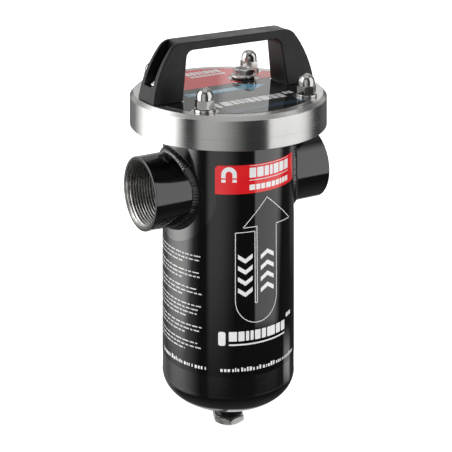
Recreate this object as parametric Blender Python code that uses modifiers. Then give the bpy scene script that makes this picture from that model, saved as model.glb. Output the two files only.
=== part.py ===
"""Magnetic system filter for a heating circuit, as an assembly of separate pieces.

A welded black vessel hangs between two threaded ports.  A thick lid closes it, held by four
domed nuts on studs, and carries a bridge handle, an air vent and a sealed magnetic core that
lifts out with it.  A divider inside the vessel makes the water run down one side and up the
other, past the core.  A plug in the bottom drains it.

Frame: metres, +Z up.  The origin is the centre of the drain plug's lowest face, on the
vessel's axis.  X runs along the ports, inlet at -X and outlet at +X.  The labelled front
faces -Y.
"""
import math

import bmesh
import bpy
from mathutils import Matrix, Vector

MM = 0.001
CLEARANCE = 0.3 * MM              # gap between neighbouring solids
HEX_CHAMFER = math.radians(28)    # how steeply a hexagon's corners are turned down

# Vessel
TUBE_RADIUS = 50.8 * MM           # 4 inch tube
WALL = 3.0 * MM
TUBE_BOTTOM = 40.5 * MM           # where the tube meets the dished end
TUBE_TOP = 237.6 * MM
DISH_DEPTH = TUBE_RADIUS / 2      # 2:1 semi-elliptical end
BODY_SEGMENTS = 40

# Ports, female G1 1/2
PORT_HEIGHT = 187.0 * MM
PORT_REACH = 77.0 * MM            # half of the face-to-face length
SOCKET_RADIUS = 27.0 * MM
SOCKET_BORE = 23.9 * MM           # thread major radius
SOCKET_CHAMFER = 1.0 * MM
SOCKET_ROOT = 20.0 * MM           # inside the vessel, cut away by the cope
WELD_RADIUS = 2.2 * MM

# Flange and lid, 6 inch
FLANGE_RADIUS = 76.2 * MM
FLANGE_BOTTOM = 230.0 * MM
FLANGE_TOP = 238.2 * MM
LID_BOTTOM = FLANGE_TOP + CLEARANCE
LID_TOP = 254.5 * MM
LID_CHAMFER = 2.8 * MM
GROOVE_INNER = 52.8 * MM          # O-ring groove in the flange
GROOVE_OUTER = 56.0 * MM
GROOVE_DEPTH = 2.4 * MM
LID_SEGMENTS = 56

# Studs, washers and domed nuts, M8
STUD_CIRCLE = 62.0 * MM
STUD_ANGLES = [math.radians(43 + 90 * i) for i in range(4)]
STUD_RADIUS = 4.0 * MM
STUD_HOLE = 4.5 * MM
STUD_POINT_RADIUS = 3.4 * MM      # turned-down tip
STUD_POINT_LENGTH = 0.8 * MM
WASHER_RADIUS = 8.0 * MM
WASHER_THICK = 1.6 * MM
NUT_FLATS = 13.0 * MM
NUT_HEX_HEIGHT = 6.5 * MM
NUT_HEIGHT = 15.0 * MM
NUT_DOME_RADIUS = 6.25 * MM
NUT_BORE_DEPTH = 11.2 * MM
NUT_BASE = LID_TOP + WASHER_THICK + 2 * CLEARANCE

# Air vent in the lid, G1/4, and drain in the bottom, G3/8
VENT_X = 29.0 * MM
VENT_Y = 25.0 * MM
VENT_SHANK = 6.5 * MM
VENT_COLLAR = 10.0 * MM
VENT_FLATS = 15.0 * MM
VENT_COLLAR_THICK = 2.0 * MM
VENT_HEX_HEIGHT = 4.2 * MM
VENT_SEAL_THICK = 1.0 * MM
VENT_SEAL_RADIUS = 9.0 * MM
VENT_SHANK_TIP = 7.0 * MM         # above the lid's underside
VENT_PHASE = math.radians(43)     # how the hexagon is turned
WELL_DEPTH = 2.6 * MM             # recess in the top of the vent plug
WELL_MOUTH = 5.8 * MM
WELL_FLOOR = 5.4 * MM
WELL_BASE = 3.0 * MM              # metal left under the bleed screw
BLEED_RADIUS = 3.0 * MM
BLEED_SUNK = 0.9 * MM             # below the top of the hexagon
BLEED_SLOT = 1.0 * MM             # width and depth of its screwdriver slot
DRAIN_SHANK = 8.0 * MM
DRAIN_FLATS = 22.0 * MM
DRAIN_HEX_HEIGHT = 5.0 * MM
DRAIN_SEAL_THICK = 0.9 * MM
DRAIN_BOSS_RADIUS = 10.75 * MM
DRAIN_BOSS_TOP = 21.0 * MM
DRAIN_TIP = 17.0 * MM
DRAIN_PHASE = math.radians(39)

# Bridge handle, heights above the lid
HANDLE_HEIGHT = 43.2 * MM
HANDLE_FOOT_OUT = 72.2 * MM
HANDLE_FOOT_IN = 46.9 * MM
HANDLE_SHOULDER = (52.85 * MM, 43.2 * MM, 11.5 * MM)      # corner x, height, rounding
HANDLE_FLANK = (68.9 * MM, 21.2 * MM, 80 * MM)
HANDLE_ARMPIT = (41.6 * MM, 36.8 * MM, 6 * MM)
HANDLE_EDGE = 0.7 * MM
HANDLE_FOOT_HALF_WIDTH = 12.8 * MM
HANDLE_TOP_HALF_WIDTH = 9.6 * MM
CHANNEL_HALF_WIDTH = 6.8 * MM
CHANNEL_FLOOR = 11.5 * MM
CHANNEL_WALL_LOW = 50.9 * MM      # inner end wall at the channel's floor and at its top
CHANNEL_WALL_HIGH = 48.4 * MM
HANDLE_SCREW_X = 61.0 * MM
SCREW_RADIUS = 3.0 * MM
SCREW_HOLE = 3.4 * MM
SCREW_HEAD_RADIUS = 6.2 * MM
SCREW_HEAD_HEIGHT = 3.4 * MM
SCREW_DEPTH = 12.0 * MM           # of its hole in the lid

# Labels
LABEL_THICK = 0.3 * MM
LABEL_BOTTOM = 56.0 * MM
LABEL_TOP = 212.0 * MM
LABEL_PORT_GAP = 38.5 * MM        # radius of the cut-outs round the ports
LID_LABEL_RADIUS = 66.3 * MM
LABEL_NUT_GAP = 10.5 * MM
LABEL_VENT_GAP = 12.5 * MM
LABEL_FOOT_GAP = 1.4 * MM

# Magnetic core, hung from the lid
CORE_RADIUS = 16.0 * MM
CORE_WALL = 1.5 * MM
CORE_BOTTOM = 62.7 * MM
CORE_PLUG_RIM = 3.0 * MM
CORE_PLUG_NECK = 4.0 * MM
SPIGOT_RADIUS = 20.0 * MM
SPIGOT_THICK = 6.0 * MM
SPIGOT_NECK = 8.0 * MM
SPIGOT_STUD_RADIUS = 6.0 * MM
SPIGOT_STUD_LENGTH = 10.0 * MM
MAGNET_COUNT = 5
MAGNET_LENGTH = 25.0 * MM

# Flow divider
DIVIDER_THICK = 2.0 * MM
DIVIDER_HALF_WIDTH = 47.3 * MM
DIVIDER_BOTTOM = 54.0 * MM
DIVIDER_TOP = 236.5 * MM
DIVIDER_SLOT_FLOOR = 60.0 * MM

BLACK_PAINT = ("black_paint", (0.012, 0.012, 0.013), 0.18, 0.0)
TURNED_STEEL = ("turned_steel", (0.62, 0.62, 0.62), 0.28, 1.0)
BRIGHT_STEEL = ("bright_steel", (0.78, 0.78, 0.77), 0.12, 1.0)
BARE_STEEL = ("bare_steel", (0.50, 0.50, 0.50), 0.35, 1.0)
BLACK_PLASTIC = ("black_plastic", (0.03, 0.03, 0.032), 0.45, 0.0)
LABEL_FILM = ("label_film", (0.015, 0.015, 0.017), 0.12, 0.0)
SEAL_RUBBER = ("seal_rubber", (0.02, 0.02, 0.02), 0.7, 0.0)
MAGNET_METAL = ("magnet_metal", (0.55, 0.56, 0.58), 0.25, 1.0)
POLE_STEEL = ("pole_steel", (0.33, 0.33, 0.34), 0.45, 1.0)


# ---------------------------------------------------------------- tools

def new_collection(name):
    collection = bpy.data.collections.new(name)
    bpy.context.scene.collection.children.link(collection)
    return collection


def clear_scene():
    for obj in list(bpy.data.objects):
        bpy.data.objects.remove(obj, do_unlink=True)


def make_material(name, finish):
    material = bpy.data.materials.new(name + "_" + finish[0])
    material.use_nodes = True
    shader = material.node_tree.nodes["Principled BSDF"]
    shader.inputs["Base Color"].default_value = (*finish[1], 1.0)
    shader.inputs["Roughness"].default_value = finish[2]
    shader.inputs["Metallic"].default_value = finish[3]
    return material


def add_object(name, mesh, at=(0, 0, 0)):
    obj = bpy.data.objects.new(name, mesh)
    obj.location = at
    PARTS.objects.link(obj)
    return obj


def keep_as_cutter(obj):
    for collection in list(obj.users_collection):
        collection.objects.unlink(obj)
    CUTTERS.objects.link(obj)
    obj.hide_render = True
    obj.display_type = "WIRE"
    return obj


def combine(obj, operation, other):
    """Boolean with another object, which then moves to the cutters."""
    modifier = obj.modifiers.new(operation.lower(), "BOOLEAN")
    modifier.operation = operation
    modifier.solver = "EXACT"
    modifier.object = keep_as_cutter(other)
    return obj


def finish_piece(obj, finish):
    """Settle the modifiers into the mesh, shade it and give it its material."""
    bpy.context.view_layer.update()
    depsgraph = bpy.context.evaluated_depsgraph_get()
    mesh = bpy.data.meshes.new_from_object(obj.evaluated_get(depsgraph))
    obj.modifiers.clear()
    obj.data = mesh
    mesh.name = obj.name
    mesh.shade_smooth()
    mesh.set_sharp_from_angle(angle=math.radians(30))
    mesh.materials.clear()
    mesh.materials.append(make_material(obj.name, finish))
    return obj


def turned(name, profile, at=(0, 0, 0), segments=24, closed=False):
    """Solid of revolution about local Z.  The profile runs down its outer side."""
    mesh = bpy.data.meshes.new(name)
    edges = [(i, i + 1) for i in range(len(profile) - 1)]
    if closed:
        edges.append((len(profile) - 1, 0))
    mesh.from_pydata([(r, 0, z) for r, z in profile], edges, [])
    obj = add_object(name, mesh, at)
    screw = obj.modifiers.new("turn", "SCREW")
    screw.axis = "Z"
    screw.steps = segments
    screw.render_steps = segments
    screw.use_merge_vertices = True
    screw.merge_threshold = 0.00001
    return obj


def ring(name, outer, inner, low, high, at=(0, 0, 0), segments=24):
    profile = [(outer, high), (outer, low), (inner, low), (inner, high)]
    return turned(name, profile, at, segments, closed=True)


def disc(name, radius, low, high, at=(0, 0, 0), segments=24):
    return turned(name, [(0, high), (radius, high), (radius, low), (0, low)], at, segments)


def box(name, low, high):
    mesh = bpy.data.meshes.new(name)
    cage = bmesh.new()
    bmesh.ops.create_cube(cage, size=1.0)
    low, high = Vector(low), Vector(high)
    bmesh.ops.scale(cage, verts=cage.verts, vec=high - low)
    bmesh.ops.translate(cage, verts=cage.verts, vec=(low + high) / 2)
    cage.to_mesh(mesh)
    cage.free()
    return add_object(name, mesh)


def rounded(corners, steps=4):
    """Outline with each corner (x, z, radius) replaced by an arc of that radius."""
    outline = []
    for i, (x, z, radius) in enumerate(corners):
        corner = Vector((x, z))
        if radius == 0:
            outline.append(corner)
            continue
        before = (Vector(corners[i - 1][:2]) - corner).normalized()
        after = (Vector(corners[(i + 1) % len(corners)][:2]) - corner).normalized()
        half_angle = before.angle(after) / 2
        centre = corner + (before + after).normalized() * radius / math.sin(half_angle)
        start = (corner + before * radius / math.tan(half_angle) - centre).normalized()
        end = (corner + after * radius / math.tan(half_angle) - centre).normalized()
        for k in range(steps + 1):
            outline.append(centre + start.slerp(end, k / steps) * radius)
    return outline


def prism(name, outline, low, high):
    """Upright prism on an outline of (x, z) points, from y = low to y = high."""
    mesh = bpy.data.meshes.new(name)
    cage = bmesh.new()
    face = cage.faces.new([cage.verts.new((p[0], low, p[1])) for p in outline])
    result = bmesh.ops.extrude_face_region(cage, geom=[face])
    moved = [item for item in result["geom"] if isinstance(item, bmesh.types.BMVert)]
    bmesh.ops.translate(cage, verts=moved, vec=(0, high - low, 0))
    bmesh.ops.recalc_face_normals(cage, faces=cage.faces)
    cage.to_mesh(mesh)
    cage.free()
    return add_object(name, mesh)


def hex_head(name, flats, low, high, chamfer_low, chamfer_high, at=(0, 0, 0), phase=0.0):
    """Hexagonal head whose corners are turned down, as on a lathe-made nut or plug."""
    corner = flats / math.sqrt(3)
    flat_circle = 0.96 * flats / 2
    drop = (corner - flat_circle) * math.tan(HEX_CHAMFER)
    mesh = bpy.data.meshes.new(name)
    cage = bmesh.new()
    turn = Matrix.Rotation(phase, 4, "Z") @ Matrix.Rotation(math.radians(30), 4, "Z")
    place = Matrix.Translation((0, 0, (low + high) / 2)) @ turn
    bmesh.ops.create_cone(cage, cap_ends=True, segments=6, radius1=corner, radius2=corner,
                          depth=high - low, matrix=place)
    cage.to_mesh(mesh)
    cage.free()
    head = add_object(name, mesh, at)
    over = 1.0 * MM
    slope = over / math.tan(HEX_CHAMFER)
    top = [(0, high), (flat_circle, high), (corner + slope, high - drop - over)]
    if not chamfer_high:
        top = [(0, high + over), (corner + slope, high + over)]
    bottom = [(corner + slope, low + drop + over), (flat_circle, low), (0, low)]
    if not chamfer_low:
        bottom = [(corner + slope, low - over), (0, low - over)]
    envelope = turned(name + "_corners", top + bottom, at, 18)
    return combine(head, "INTERSECT", envelope)


def on_stud(index):
    angle = STUD_ANGLES[index]
    return (STUD_CIRCLE * math.cos(angle), STUD_CIRCLE * math.sin(angle), 0)


def along_port(side):
    """Turn that lays local Z along the port's outward direction."""
    return (0, side * math.pi / 2, 0)


# ---------------------------------------------------------------- vessel

def build_body_tube():
    tube = ring("body_tube", TUBE_RADIUS, TUBE_RADIUS - WALL, TUBE_BOTTOM + CLEARANCE / 2,
                TUBE_TOP, segments=BODY_SEGMENTS)
    holes = disc("port_holes", SOCKET_BORE, -PORT_REACH, PORT_REACH,
                 (0, 0, PORT_HEIGHT), 32)
    holes.rotation_euler = along_port(1)
    combine(tube, "DIFFERENCE", holes)
    finish_piece(tube, BLACK_PAINT)


def build_dished_end():
    rim = TUBE_BOTTOM - CLEARANCE / 2
    boss_gap = DRAIN_BOSS_RADIUS + CLEARANCE
    steps = 5
    outer = []
    inner = []
    for i in range(steps + 1):
        angle = math.pi / 2 * i / steps
        outer.append((TUBE_RADIUS * math.cos(angle), rim - DISH_DEPTH * math.sin(angle)))
        inner.append(((TUBE_RADIUS - WALL) * math.cos(angle),
                      rim - (DISH_DEPTH - WALL) * math.sin(angle)))
    end = turned("dished_end", outer[:-1] + [(0, outer[-1][1]), (0, inner[-1][1])]
                 + inner[-2::-1], segments=BODY_SEGMENTS, closed=True)
    hole = disc("boss_hole", boss_gap, 0, rim, segments=24)
    combine(end, "DIFFERENCE", hole)
    finish_piece(end, BLACK_PAINT)


def build_socket(name, side):
    profile = [
        (SOCKET_RADIUS - SOCKET_CHAMFER / 2, PORT_REACH),
        (SOCKET_RADIUS, PORT_REACH - SOCKET_CHAMFER / 2),
        (SOCKET_RADIUS, SOCKET_ROOT),
        (SOCKET_BORE, SOCKET_ROOT),
        (SOCKET_BORE, PORT_REACH - SOCKET_CHAMFER),
        (SOCKET_BORE + SOCKET_CHAMFER, PORT_REACH),
    ]
    socket = turned(name, profile, (0, 0, PORT_HEIGHT), 36, closed=True)
    socket.rotation_euler = along_port(side)
    vessel = disc(name + "_cope", TUBE_RADIUS + CLEARANCE, 0, LID_TOP, segments=BODY_SEGMENTS)
    combine(socket, "DIFFERENCE", vessel)
    finish_piece(socket, BLACK_PAINT)


def build_port_weld(name, side):
    """Bead that follows the saddle where the socket meets the tube."""
    around = SOCKET_RADIUS + CLEARANCE + WELD_RADIUS
    out = TUBE_RADIUS + CLEARANCE + WELD_RADIUS
    points = 40
    curve = bpy.data.curves.new(name, "CURVE")
    curve.dimensions = "3D"
    curve.bevel_depth = WELD_RADIUS
    curve.bevel_resolution = 1
    spline = curve.splines.new("POLY")
    spline.points.add(points - 1)
    spline.use_cyclic_u = True
    for i in range(points):
        angle = 2 * math.pi * i / points
        y = around * math.cos(angle)
        z = PORT_HEIGHT + around * math.sin(angle)
        spline.points[i].co = (side * math.sqrt(out * out - y * y), y, z, 1)
    bead = add_object(name, curve)
    bpy.context.view_layer.update()
    depsgraph = bpy.context.evaluated_depsgraph_get()
    mesh = bpy.data.meshes.new_from_object(bead.evaluated_get(depsgraph))
    bpy.data.objects.remove(bead)
    finish_piece(add_object(name, mesh), BLACK_PAINT)


def build_body_flange():
    profile = [
        (FLANGE_RADIUS, FLANGE_TOP),
        (FLANGE_RADIUS, FLANGE_BOTTOM),
        (TUBE_RADIUS + CLEARANCE, FLANGE_BOTTOM),
        (TUBE_RADIUS + CLEARANCE, FLANGE_TOP),
        (GROOVE_INNER, FLANGE_TOP),
        (GROOVE_INNER, FLANGE_TOP - GROOVE_DEPTH),
        (GROOVE_OUTER, FLANGE_TOP - GROOVE_DEPTH),
        (GROOVE_OUTER, FLANGE_TOP),
    ]
    flange = turned("body_flange", profile, segments=LID_SEGMENTS, closed=True)
    for i in range(4):
        hole = disc(f"flange_hole_{i + 1}", STUD_RADIUS + CLEARANCE, FLANGE_BOTTOM - WALL,
                    FLANGE_TOP + WALL, on_stud(i), 16)
        combine(flange, "DIFFERENCE", hole)
    finish_piece(flange, TURNED_STEEL)


def build_lid_seal():
    """O-ring as it sits, squeezed between its groove and the lid."""
    low = FLANGE_TOP - GROOVE_DEPTH + CLEARANCE
    middle = (low + FLANGE_TOP) / 2
    inner = GROOVE_INNER + CLEARANCE
    outer = GROOVE_OUTER - CLEARANCE
    flat = (outer - inner) / 4
    centre = (inner + outer) / 2
    profile = [(centre + flat, FLANGE_TOP), (outer, middle), (centre + flat, low),
               (centre - flat, low), (inner, middle), (centre - flat, FLANGE_TOP)]
    seal = turned("lid_seal", profile, segments=BODY_SEGMENTS, closed=True)
    finish_piece(seal, SEAL_RUBBER)


def build_stud(index):
    tip = NUT_BASE + NUT_BORE_DEPTH - 3 * CLEARANCE
    low = FLANGE_BOTTOM + CLEARANCE
    profile = [
        (0, tip),
        (STUD_POINT_RADIUS, tip),
        (STUD_RADIUS, tip - STUD_POINT_LENGTH),
        (STUD_RADIUS, low),
        (0, low),
    ]
    stud = turned(f"stud_{index + 1}", profile, on_stud(index), 16)
    finish_piece(stud, BRIGHT_STEEL)


def build_flow_divider():
    """Plate across the vessel, slotted so that the core hangs in it."""
    half = DIVIDER_THICK / 2
    plate = box("flow_divider", (-half, -DIVIDER_HALF_WIDTH, DIVIDER_BOTTOM),
                (half, DIVIDER_HALF_WIDTH, DIVIDER_TOP))
    core_gap = CORE_RADIUS + 2 * CLEARANCE
    slot = box("core_slot", (-WALL, -core_gap, DIVIDER_SLOT_FLOOR),
               (WALL, core_gap, LID_BOTTOM))
    combine(plate, "DIFFERENCE", slot)
    spigot_gap = SPIGOT_RADIUS + 2 * CLEARANCE
    spigot_floor = FLANGE_TOP - SPIGOT_THICK - 4 * CLEARANCE
    relief = box("spigot_slot", (-WALL, -spigot_gap, spigot_floor), (WALL, spigot_gap, LID_BOTTOM))
    combine(plate, "DIFFERENCE", relief)
    finish_piece(plate, BARE_STEEL)


def build_drain():
    low = DRAIN_HEX_HEIGHT + DRAIN_SEAL_THICK + 2 * CLEARANCE
    bore = DRAIN_SHANK + CLEARANCE
    socket = ring("drain_socket", DRAIN_BOSS_RADIUS, bore, low, DRAIN_BOSS_TOP)
    finish_piece(socket, BLACK_PAINT)

    seal_low = DRAIN_HEX_HEIGHT + CLEARANCE
    seal = ring("drain_seal", DRAIN_BOSS_RADIUS, bore, seal_low, seal_low + DRAIN_SEAL_THICK)
    finish_piece(seal, SEAL_RUBBER)

    plug = hex_head("drain_plug", DRAIN_FLATS, 0, DRAIN_HEX_HEIGHT, False, True, phase=DRAIN_PHASE)
    point = 1 * MM
    shank = turned("drain_shank", [
        (0, DRAIN_TIP),
        (DRAIN_SHANK - point, DRAIN_TIP),
        (DRAIN_SHANK, DRAIN_TIP - point),
        (DRAIN_SHANK, DRAIN_HEX_HEIGHT / 2),
        (0, DRAIN_HEX_HEIGHT / 2),
    ])
    combine(plug, "UNION", shank)
    finish_piece(plug, BRIGHT_STEEL)


# ---------------------------------------------------------------- lid and what it carries

def build_lid():
    break_edge = 0.5 * MM
    profile = [
        (0, LID_TOP),
        (FLANGE_RADIUS - LID_CHAMFER, LID_TOP),
        (FLANGE_RADIUS, LID_TOP - LID_CHAMFER),
        (FLANGE_RADIUS, LID_BOTTOM + break_edge),
        (FLANGE_RADIUS - break_edge, LID_BOTTOM),
        (0, LID_BOTTOM),
    ]
    lid = turned("lid", profile, segments=LID_SEGMENTS)
    over = 1 * MM
    for i in range(4):
        hole = disc(f"stud_hole_{i + 1}", STUD_HOLE, LID_BOTTOM - over, LID_TOP + over, on_stud(i), 16)
        combine(lid, "DIFFERENCE", hole)
    vent = disc("vent_hole", VENT_SHANK + CLEARANCE, LID_BOTTOM - over, LID_TOP + over,
                (VENT_X, VENT_Y, 0), 20)
    combine(lid, "DIFFERENCE", vent)
    socket = disc("spigot_hole", SPIGOT_STUD_RADIUS + CLEARANCE, LID_BOTTOM - over,
                  FLANGE_TOP + SPIGOT_STUD_LENGTH + CLEARANCE, segments=16)
    combine(lid, "DIFFERENCE", socket)
    for side in (-1, 1):
        hole = disc(f"handle_hole_{side}", SCREW_HOLE, LID_TOP - SCREW_DEPTH, LID_TOP + over,
                    (side * HANDLE_SCREW_X, 0, 0), 16)
        combine(lid, "DIFFERENCE", hole)
    finish_piece(lid, TURNED_STEEL)


def build_washer(index):
    low = LID_TOP + CLEARANCE
    washer = ring(f"washer_{index + 1}", WASHER_RADIUS, STUD_RADIUS + CLEARANCE, low,
                  low + WASHER_THICK, on_stud(index), 20)
    finish_piece(washer, BRIGHT_STEEL)


def build_dome_nut(index):
    name = f"dome_nut_{index + 1}"
    place = on_stud(index)
    place = (place[0], place[1], NUT_BASE)
    nut = hex_head(name, NUT_FLATS, 0, NUT_HEX_HEIGHT, True, True, place, STUD_ANGLES[index])
    spring_line = NUT_HEIGHT - NUT_DOME_RADIUS
    steps = 4
    profile = [(NUT_DOME_RADIUS * math.sin(math.pi / 2 * i / steps),
                spring_line + NUT_DOME_RADIUS * math.cos(math.pi / 2 * i / steps))
               for i in range(steps + 1)]
    profile += [(NUT_DOME_RADIUS, NUT_HEX_HEIGHT / 2), (0, NUT_HEX_HEIGHT / 2)]
    profile[0] = (0, NUT_HEIGHT)
    combine(nut, "UNION", turned(name + "_dome", profile, place, 16))
    bore = disc(name + "_bore", STUD_RADIUS + CLEARANCE, -1 * MM, NUT_BORE_DEPTH, place, 12)
    combine(nut, "DIFFERENCE", bore)
    finish_piece(nut, BRIGHT_STEEL)


def build_handle():
    """Bridge handle: legs that lean inwards, each an open channel with its screw on the floor."""
    right = [
        HANDLE_SHOULDER,
        HANDLE_FLANK,
        (HANDLE_FOOT_OUT, 0, 0),
        (HANDLE_FOOT_IN, 0, 0),
        HANDLE_ARMPIT,
    ]
    left = [(-x, z, radius) for x, z, radius in reversed(right)]
    handle = prism("handle", rounded(right + left), -1, 1)
    for vertex in handle.data.vertices:
        share = vertex.co.z / HANDLE_HEIGHT
        half_width = HANDLE_FOOT_HALF_WIDTH + (HANDLE_TOP_HALF_WIDTH - HANDLE_FOOT_HALF_WIDTH) * share
        vertex.co.y *= half_width
        vertex.co.z += LID_TOP + CLEARANCE * (1 - share)
    bevel = handle.modifiers.new("edges", "BEVEL")
    bevel.width = HANDLE_EDGE
    bevel.segments = 1
    bevel.limit_method = "ANGLE"
    bevel.angle_limit = math.radians(50)
    over = 10 * MM
    for side in (-1, 1):
        out = side * (HANDLE_FOOT_OUT + over)
        floor = LID_TOP + CHANNEL_FLOOR
        top = LID_TOP + HANDLE_HEIGHT + over
        outline = [(side * CHANNEL_WALL_LOW, floor), (out, floor), (out, top),
                   (side * CHANNEL_WALL_HIGH, top)]
        channel = prism(f"channel_{side}", outline, -CHANNEL_HALF_WIDTH, CHANNEL_HALF_WIDTH)
        combine(handle, "DIFFERENCE", channel)
        hole = disc(f"foot_hole_{side}", SCREW_HOLE, LID_TOP - over, floor + over,
                    (side * HANDLE_SCREW_X, 0, 0), 16)
        combine(handle, "DIFFERENCE", hole)
    finish_piece(handle, BLACK_PLASTIC)


def build_handle_screw(index, side):
    seat = LID_TOP + CHANNEL_FLOOR + CLEARANCE
    low = LID_TOP - SCREW_DEPTH + CLEARANCE
    profile = [
        (0, seat + SCREW_HEAD_HEIGHT),
        (SCREW_HEAD_RADIUS - 2 * MM, seat + SCREW_HEAD_HEIGHT),
        (SCREW_HEAD_RADIUS, seat + SCREW_HEAD_HEIGHT / 3),
        (SCREW_HEAD_RADIUS, seat),
        (SCREW_RADIUS, seat),
        (SCREW_RADIUS, low),
        (0, low),
    ]
    screw = turned(f"handle_screw_{index}", profile, (side * HANDLE_SCREW_X, 0, 0), 20)
    finish_piece(screw, BRIGHT_STEEL)


def build_vent():
    place = (VENT_X, VENT_Y, LID_TOP + CLEARANCE)
    seal = ring("vent_seal", VENT_SEAL_RADIUS, VENT_SHANK + CLEARANCE, 0, VENT_SEAL_THICK, place, 20)
    finish_piece(seal, SEAL_RUBBER)

    collar_low = VENT_SEAL_THICK + CLEARANCE
    hex_low = collar_low + VENT_COLLAR_THICK / 2
    top = collar_low + VENT_COLLAR_THICK + VENT_HEX_HEIGHT
    plug = hex_head("vent_plug", VENT_FLATS, hex_low, top, False, True, place, VENT_PHASE)
    shank_low = LID_BOTTOM - LID_TOP + VENT_SHANK_TIP
    body = [
        (0, collar_low + VENT_COLLAR_THICK),
        (VENT_COLLAR - 0.6 * MM, collar_low + VENT_COLLAR_THICK),
        (VENT_COLLAR, collar_low + VENT_COLLAR_THICK / 2),
        (VENT_COLLAR, collar_low),
        (VENT_SHANK, collar_low),
        (VENT_SHANK, shank_low),
        (0, shank_low),
    ]
    combine(plug, "UNION", turned("vent_shank", body, place, 24))
    over = 1 * MM
    base = shank_low + WELL_BASE
    well = [
        (0, top + over),
        (WELL_MOUTH, top + over),
        (WELL_FLOOR, top - WELL_DEPTH),
        (BLEED_RADIUS + CLEARANCE, top - WELL_DEPTH),
        (BLEED_RADIUS + CLEARANCE, base),
        (0, base),
    ]
    combine(plug, "DIFFERENCE", turned("vent_well", well, place, 20))
    finish_piece(plug, BRIGHT_STEEL)

    head = top - BLEED_SUNK
    screw = disc("bleed_screw", BLEED_RADIUS, base + CLEARANCE, head, place, 16)
    middle = Vector(place) + Vector((0, 0, head))
    half = Vector((BLEED_SLOT / 2, 2 * BLEED_RADIUS, BLEED_SLOT))
    slot = box("bleed_slot", middle - half, middle + half)
    combine(screw, "DIFFERENCE", slot)
    finish_piece(screw, BARE_STEEL)


# ---------------------------------------------------------------- labels

def build_body_label():
    inner = TUBE_RADIUS + CLEARANCE
    label = ring("body_label", inner + LABEL_THICK, inner, LABEL_BOTTOM, LABEL_TOP,
                 segments=BODY_SEGMENTS)
    steps = 16
    angles = [math.pi * i / steps for i in range(steps + 1)]
    arch = [(LABEL_PORT_GAP * math.cos(a), -LABEL_PORT_GAP * math.sin(a)) for a in angles]
    above = LID_TOP - PORT_HEIGHT
    arch += [(-LABEL_PORT_GAP, above), (LABEL_PORT_GAP, above)]
    window = prism("port_windows", arch, -PORT_REACH, PORT_REACH)
    window.rotation_euler = (0, 0, math.pi / 2)
    window.location = (0, 0, PORT_HEIGHT)
    combine(label, "DIFFERENCE", window)
    finish_piece(label, LABEL_FILM)


def build_lid_label():
    low = LID_TOP + CLEARANCE
    label = disc("lid_label", LID_LABEL_RADIUS, low, low + LABEL_THICK, segments=BODY_SEGMENTS)
    over = 1 * MM
    for i in range(4):
        gap = disc(f"nut_gap_{i + 1}", LABEL_NUT_GAP, low - over, low + over, on_stud(i), 20)
        combine(label, "DIFFERENCE", gap)
    gap = disc("vent_gap", LABEL_VENT_GAP, low - over, low + over, (VENT_X, VENT_Y, 0), 20)
    combine(label, "DIFFERENCE", gap)
    half = HANDLE_FOOT_HALF_WIDTH + LABEL_FOOT_GAP
    for side in (-1, 1):
        near = side * (HANDLE_FOOT_IN - LABEL_FOOT_GAP)
        far = side * (HANDLE_FOOT_OUT + over)
        gap = box(f"foot_gap_{side}", (min(near, far), -half, low - over),
                  (max(near, far), half, low + over))
        combine(label, "DIFFERENCE", gap)
    finish_piece(label, LABEL_FILM)


# ---------------------------------------------------------------- magnetic core

def build_core_shell():
    bore = CORE_RADIUS - CORE_WALL
    neck = bore - CLEARANCE
    spigot_low = FLANGE_TOP - SPIGOT_THICK
    stud_top = FLANGE_TOP + SPIGOT_STUD_LENGTH
    spigot = turned("core_spigot", [
        (0, stud_top),
        (SPIGOT_STUD_RADIUS, stud_top),
        (SPIGOT_STUD_RADIUS, FLANGE_TOP),
        (SPIGOT_RADIUS, FLANGE_TOP),
        (SPIGOT_RADIUS, spigot_low),
        (neck, spigot_low),
        (neck, spigot_low - SPIGOT_NECK),
        (0, spigot_low - SPIGOT_NECK),
    ])
    finish_piece(spigot, BARE_STEEL)

    tube_low = CORE_BOTTOM + CORE_PLUG_RIM + CLEARANCE
    tube = ring("core_tube", CORE_RADIUS, bore, tube_low, spigot_low - CLEARANCE)
    finish_piece(tube, BRIGHT_STEEL)

    rim_top = CORE_BOTTOM + CORE_PLUG_RIM
    plug = turned("core_end_plug", [
        (0, rim_top + CORE_PLUG_NECK),
        (neck, rim_top + CORE_PLUG_NECK),
        (neck, rim_top),
        (CORE_RADIUS, rim_top),
        (CORE_RADIUS - 1 * MM, CORE_BOTTOM),
        (0, CORE_BOTTOM),
    ])
    finish_piece(plug, BARE_STEEL)


def build_magnet_stack():
    """Disc magnets and steel pole pieces in turn, filling the tube between its two plugs."""
    low = CORE_BOTTOM + CORE_PLUG_RIM + CORE_PLUG_NECK + CLEARANCE
    high = FLANGE_TOP - SPIGOT_THICK - SPIGOT_NECK - CLEARANCE
    pole_count = MAGNET_COUNT + 1
    gaps = (MAGNET_COUNT + pole_count - 1) * CLEARANCE
    pole_length = (high - low - gaps - MAGNET_COUNT * MAGNET_LENGTH) / pole_count
    radius = CORE_RADIUS - CORE_WALL - CLEARANCE
    for i in range(pole_count):
        base = low + i * (pole_length + MAGNET_LENGTH + 2 * CLEARANCE)
        pole = disc(f"pole_piece_{i + 1}", radius, base, base + pole_length, segments=16)
        finish_piece(pole, POLE_STEEL)
        if i < MAGNET_COUNT:
            start = base + pole_length + CLEARANCE
            magnet = disc(f"magnet_{i + 1}", radius, start, start + MAGNET_LENGTH, segments=16)
            finish_piece(magnet, MAGNET_METAL)


clear_scene()
PARTS = new_collection("magnetic_system_filter")
CUTTERS = new_collection("cutters")

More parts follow.
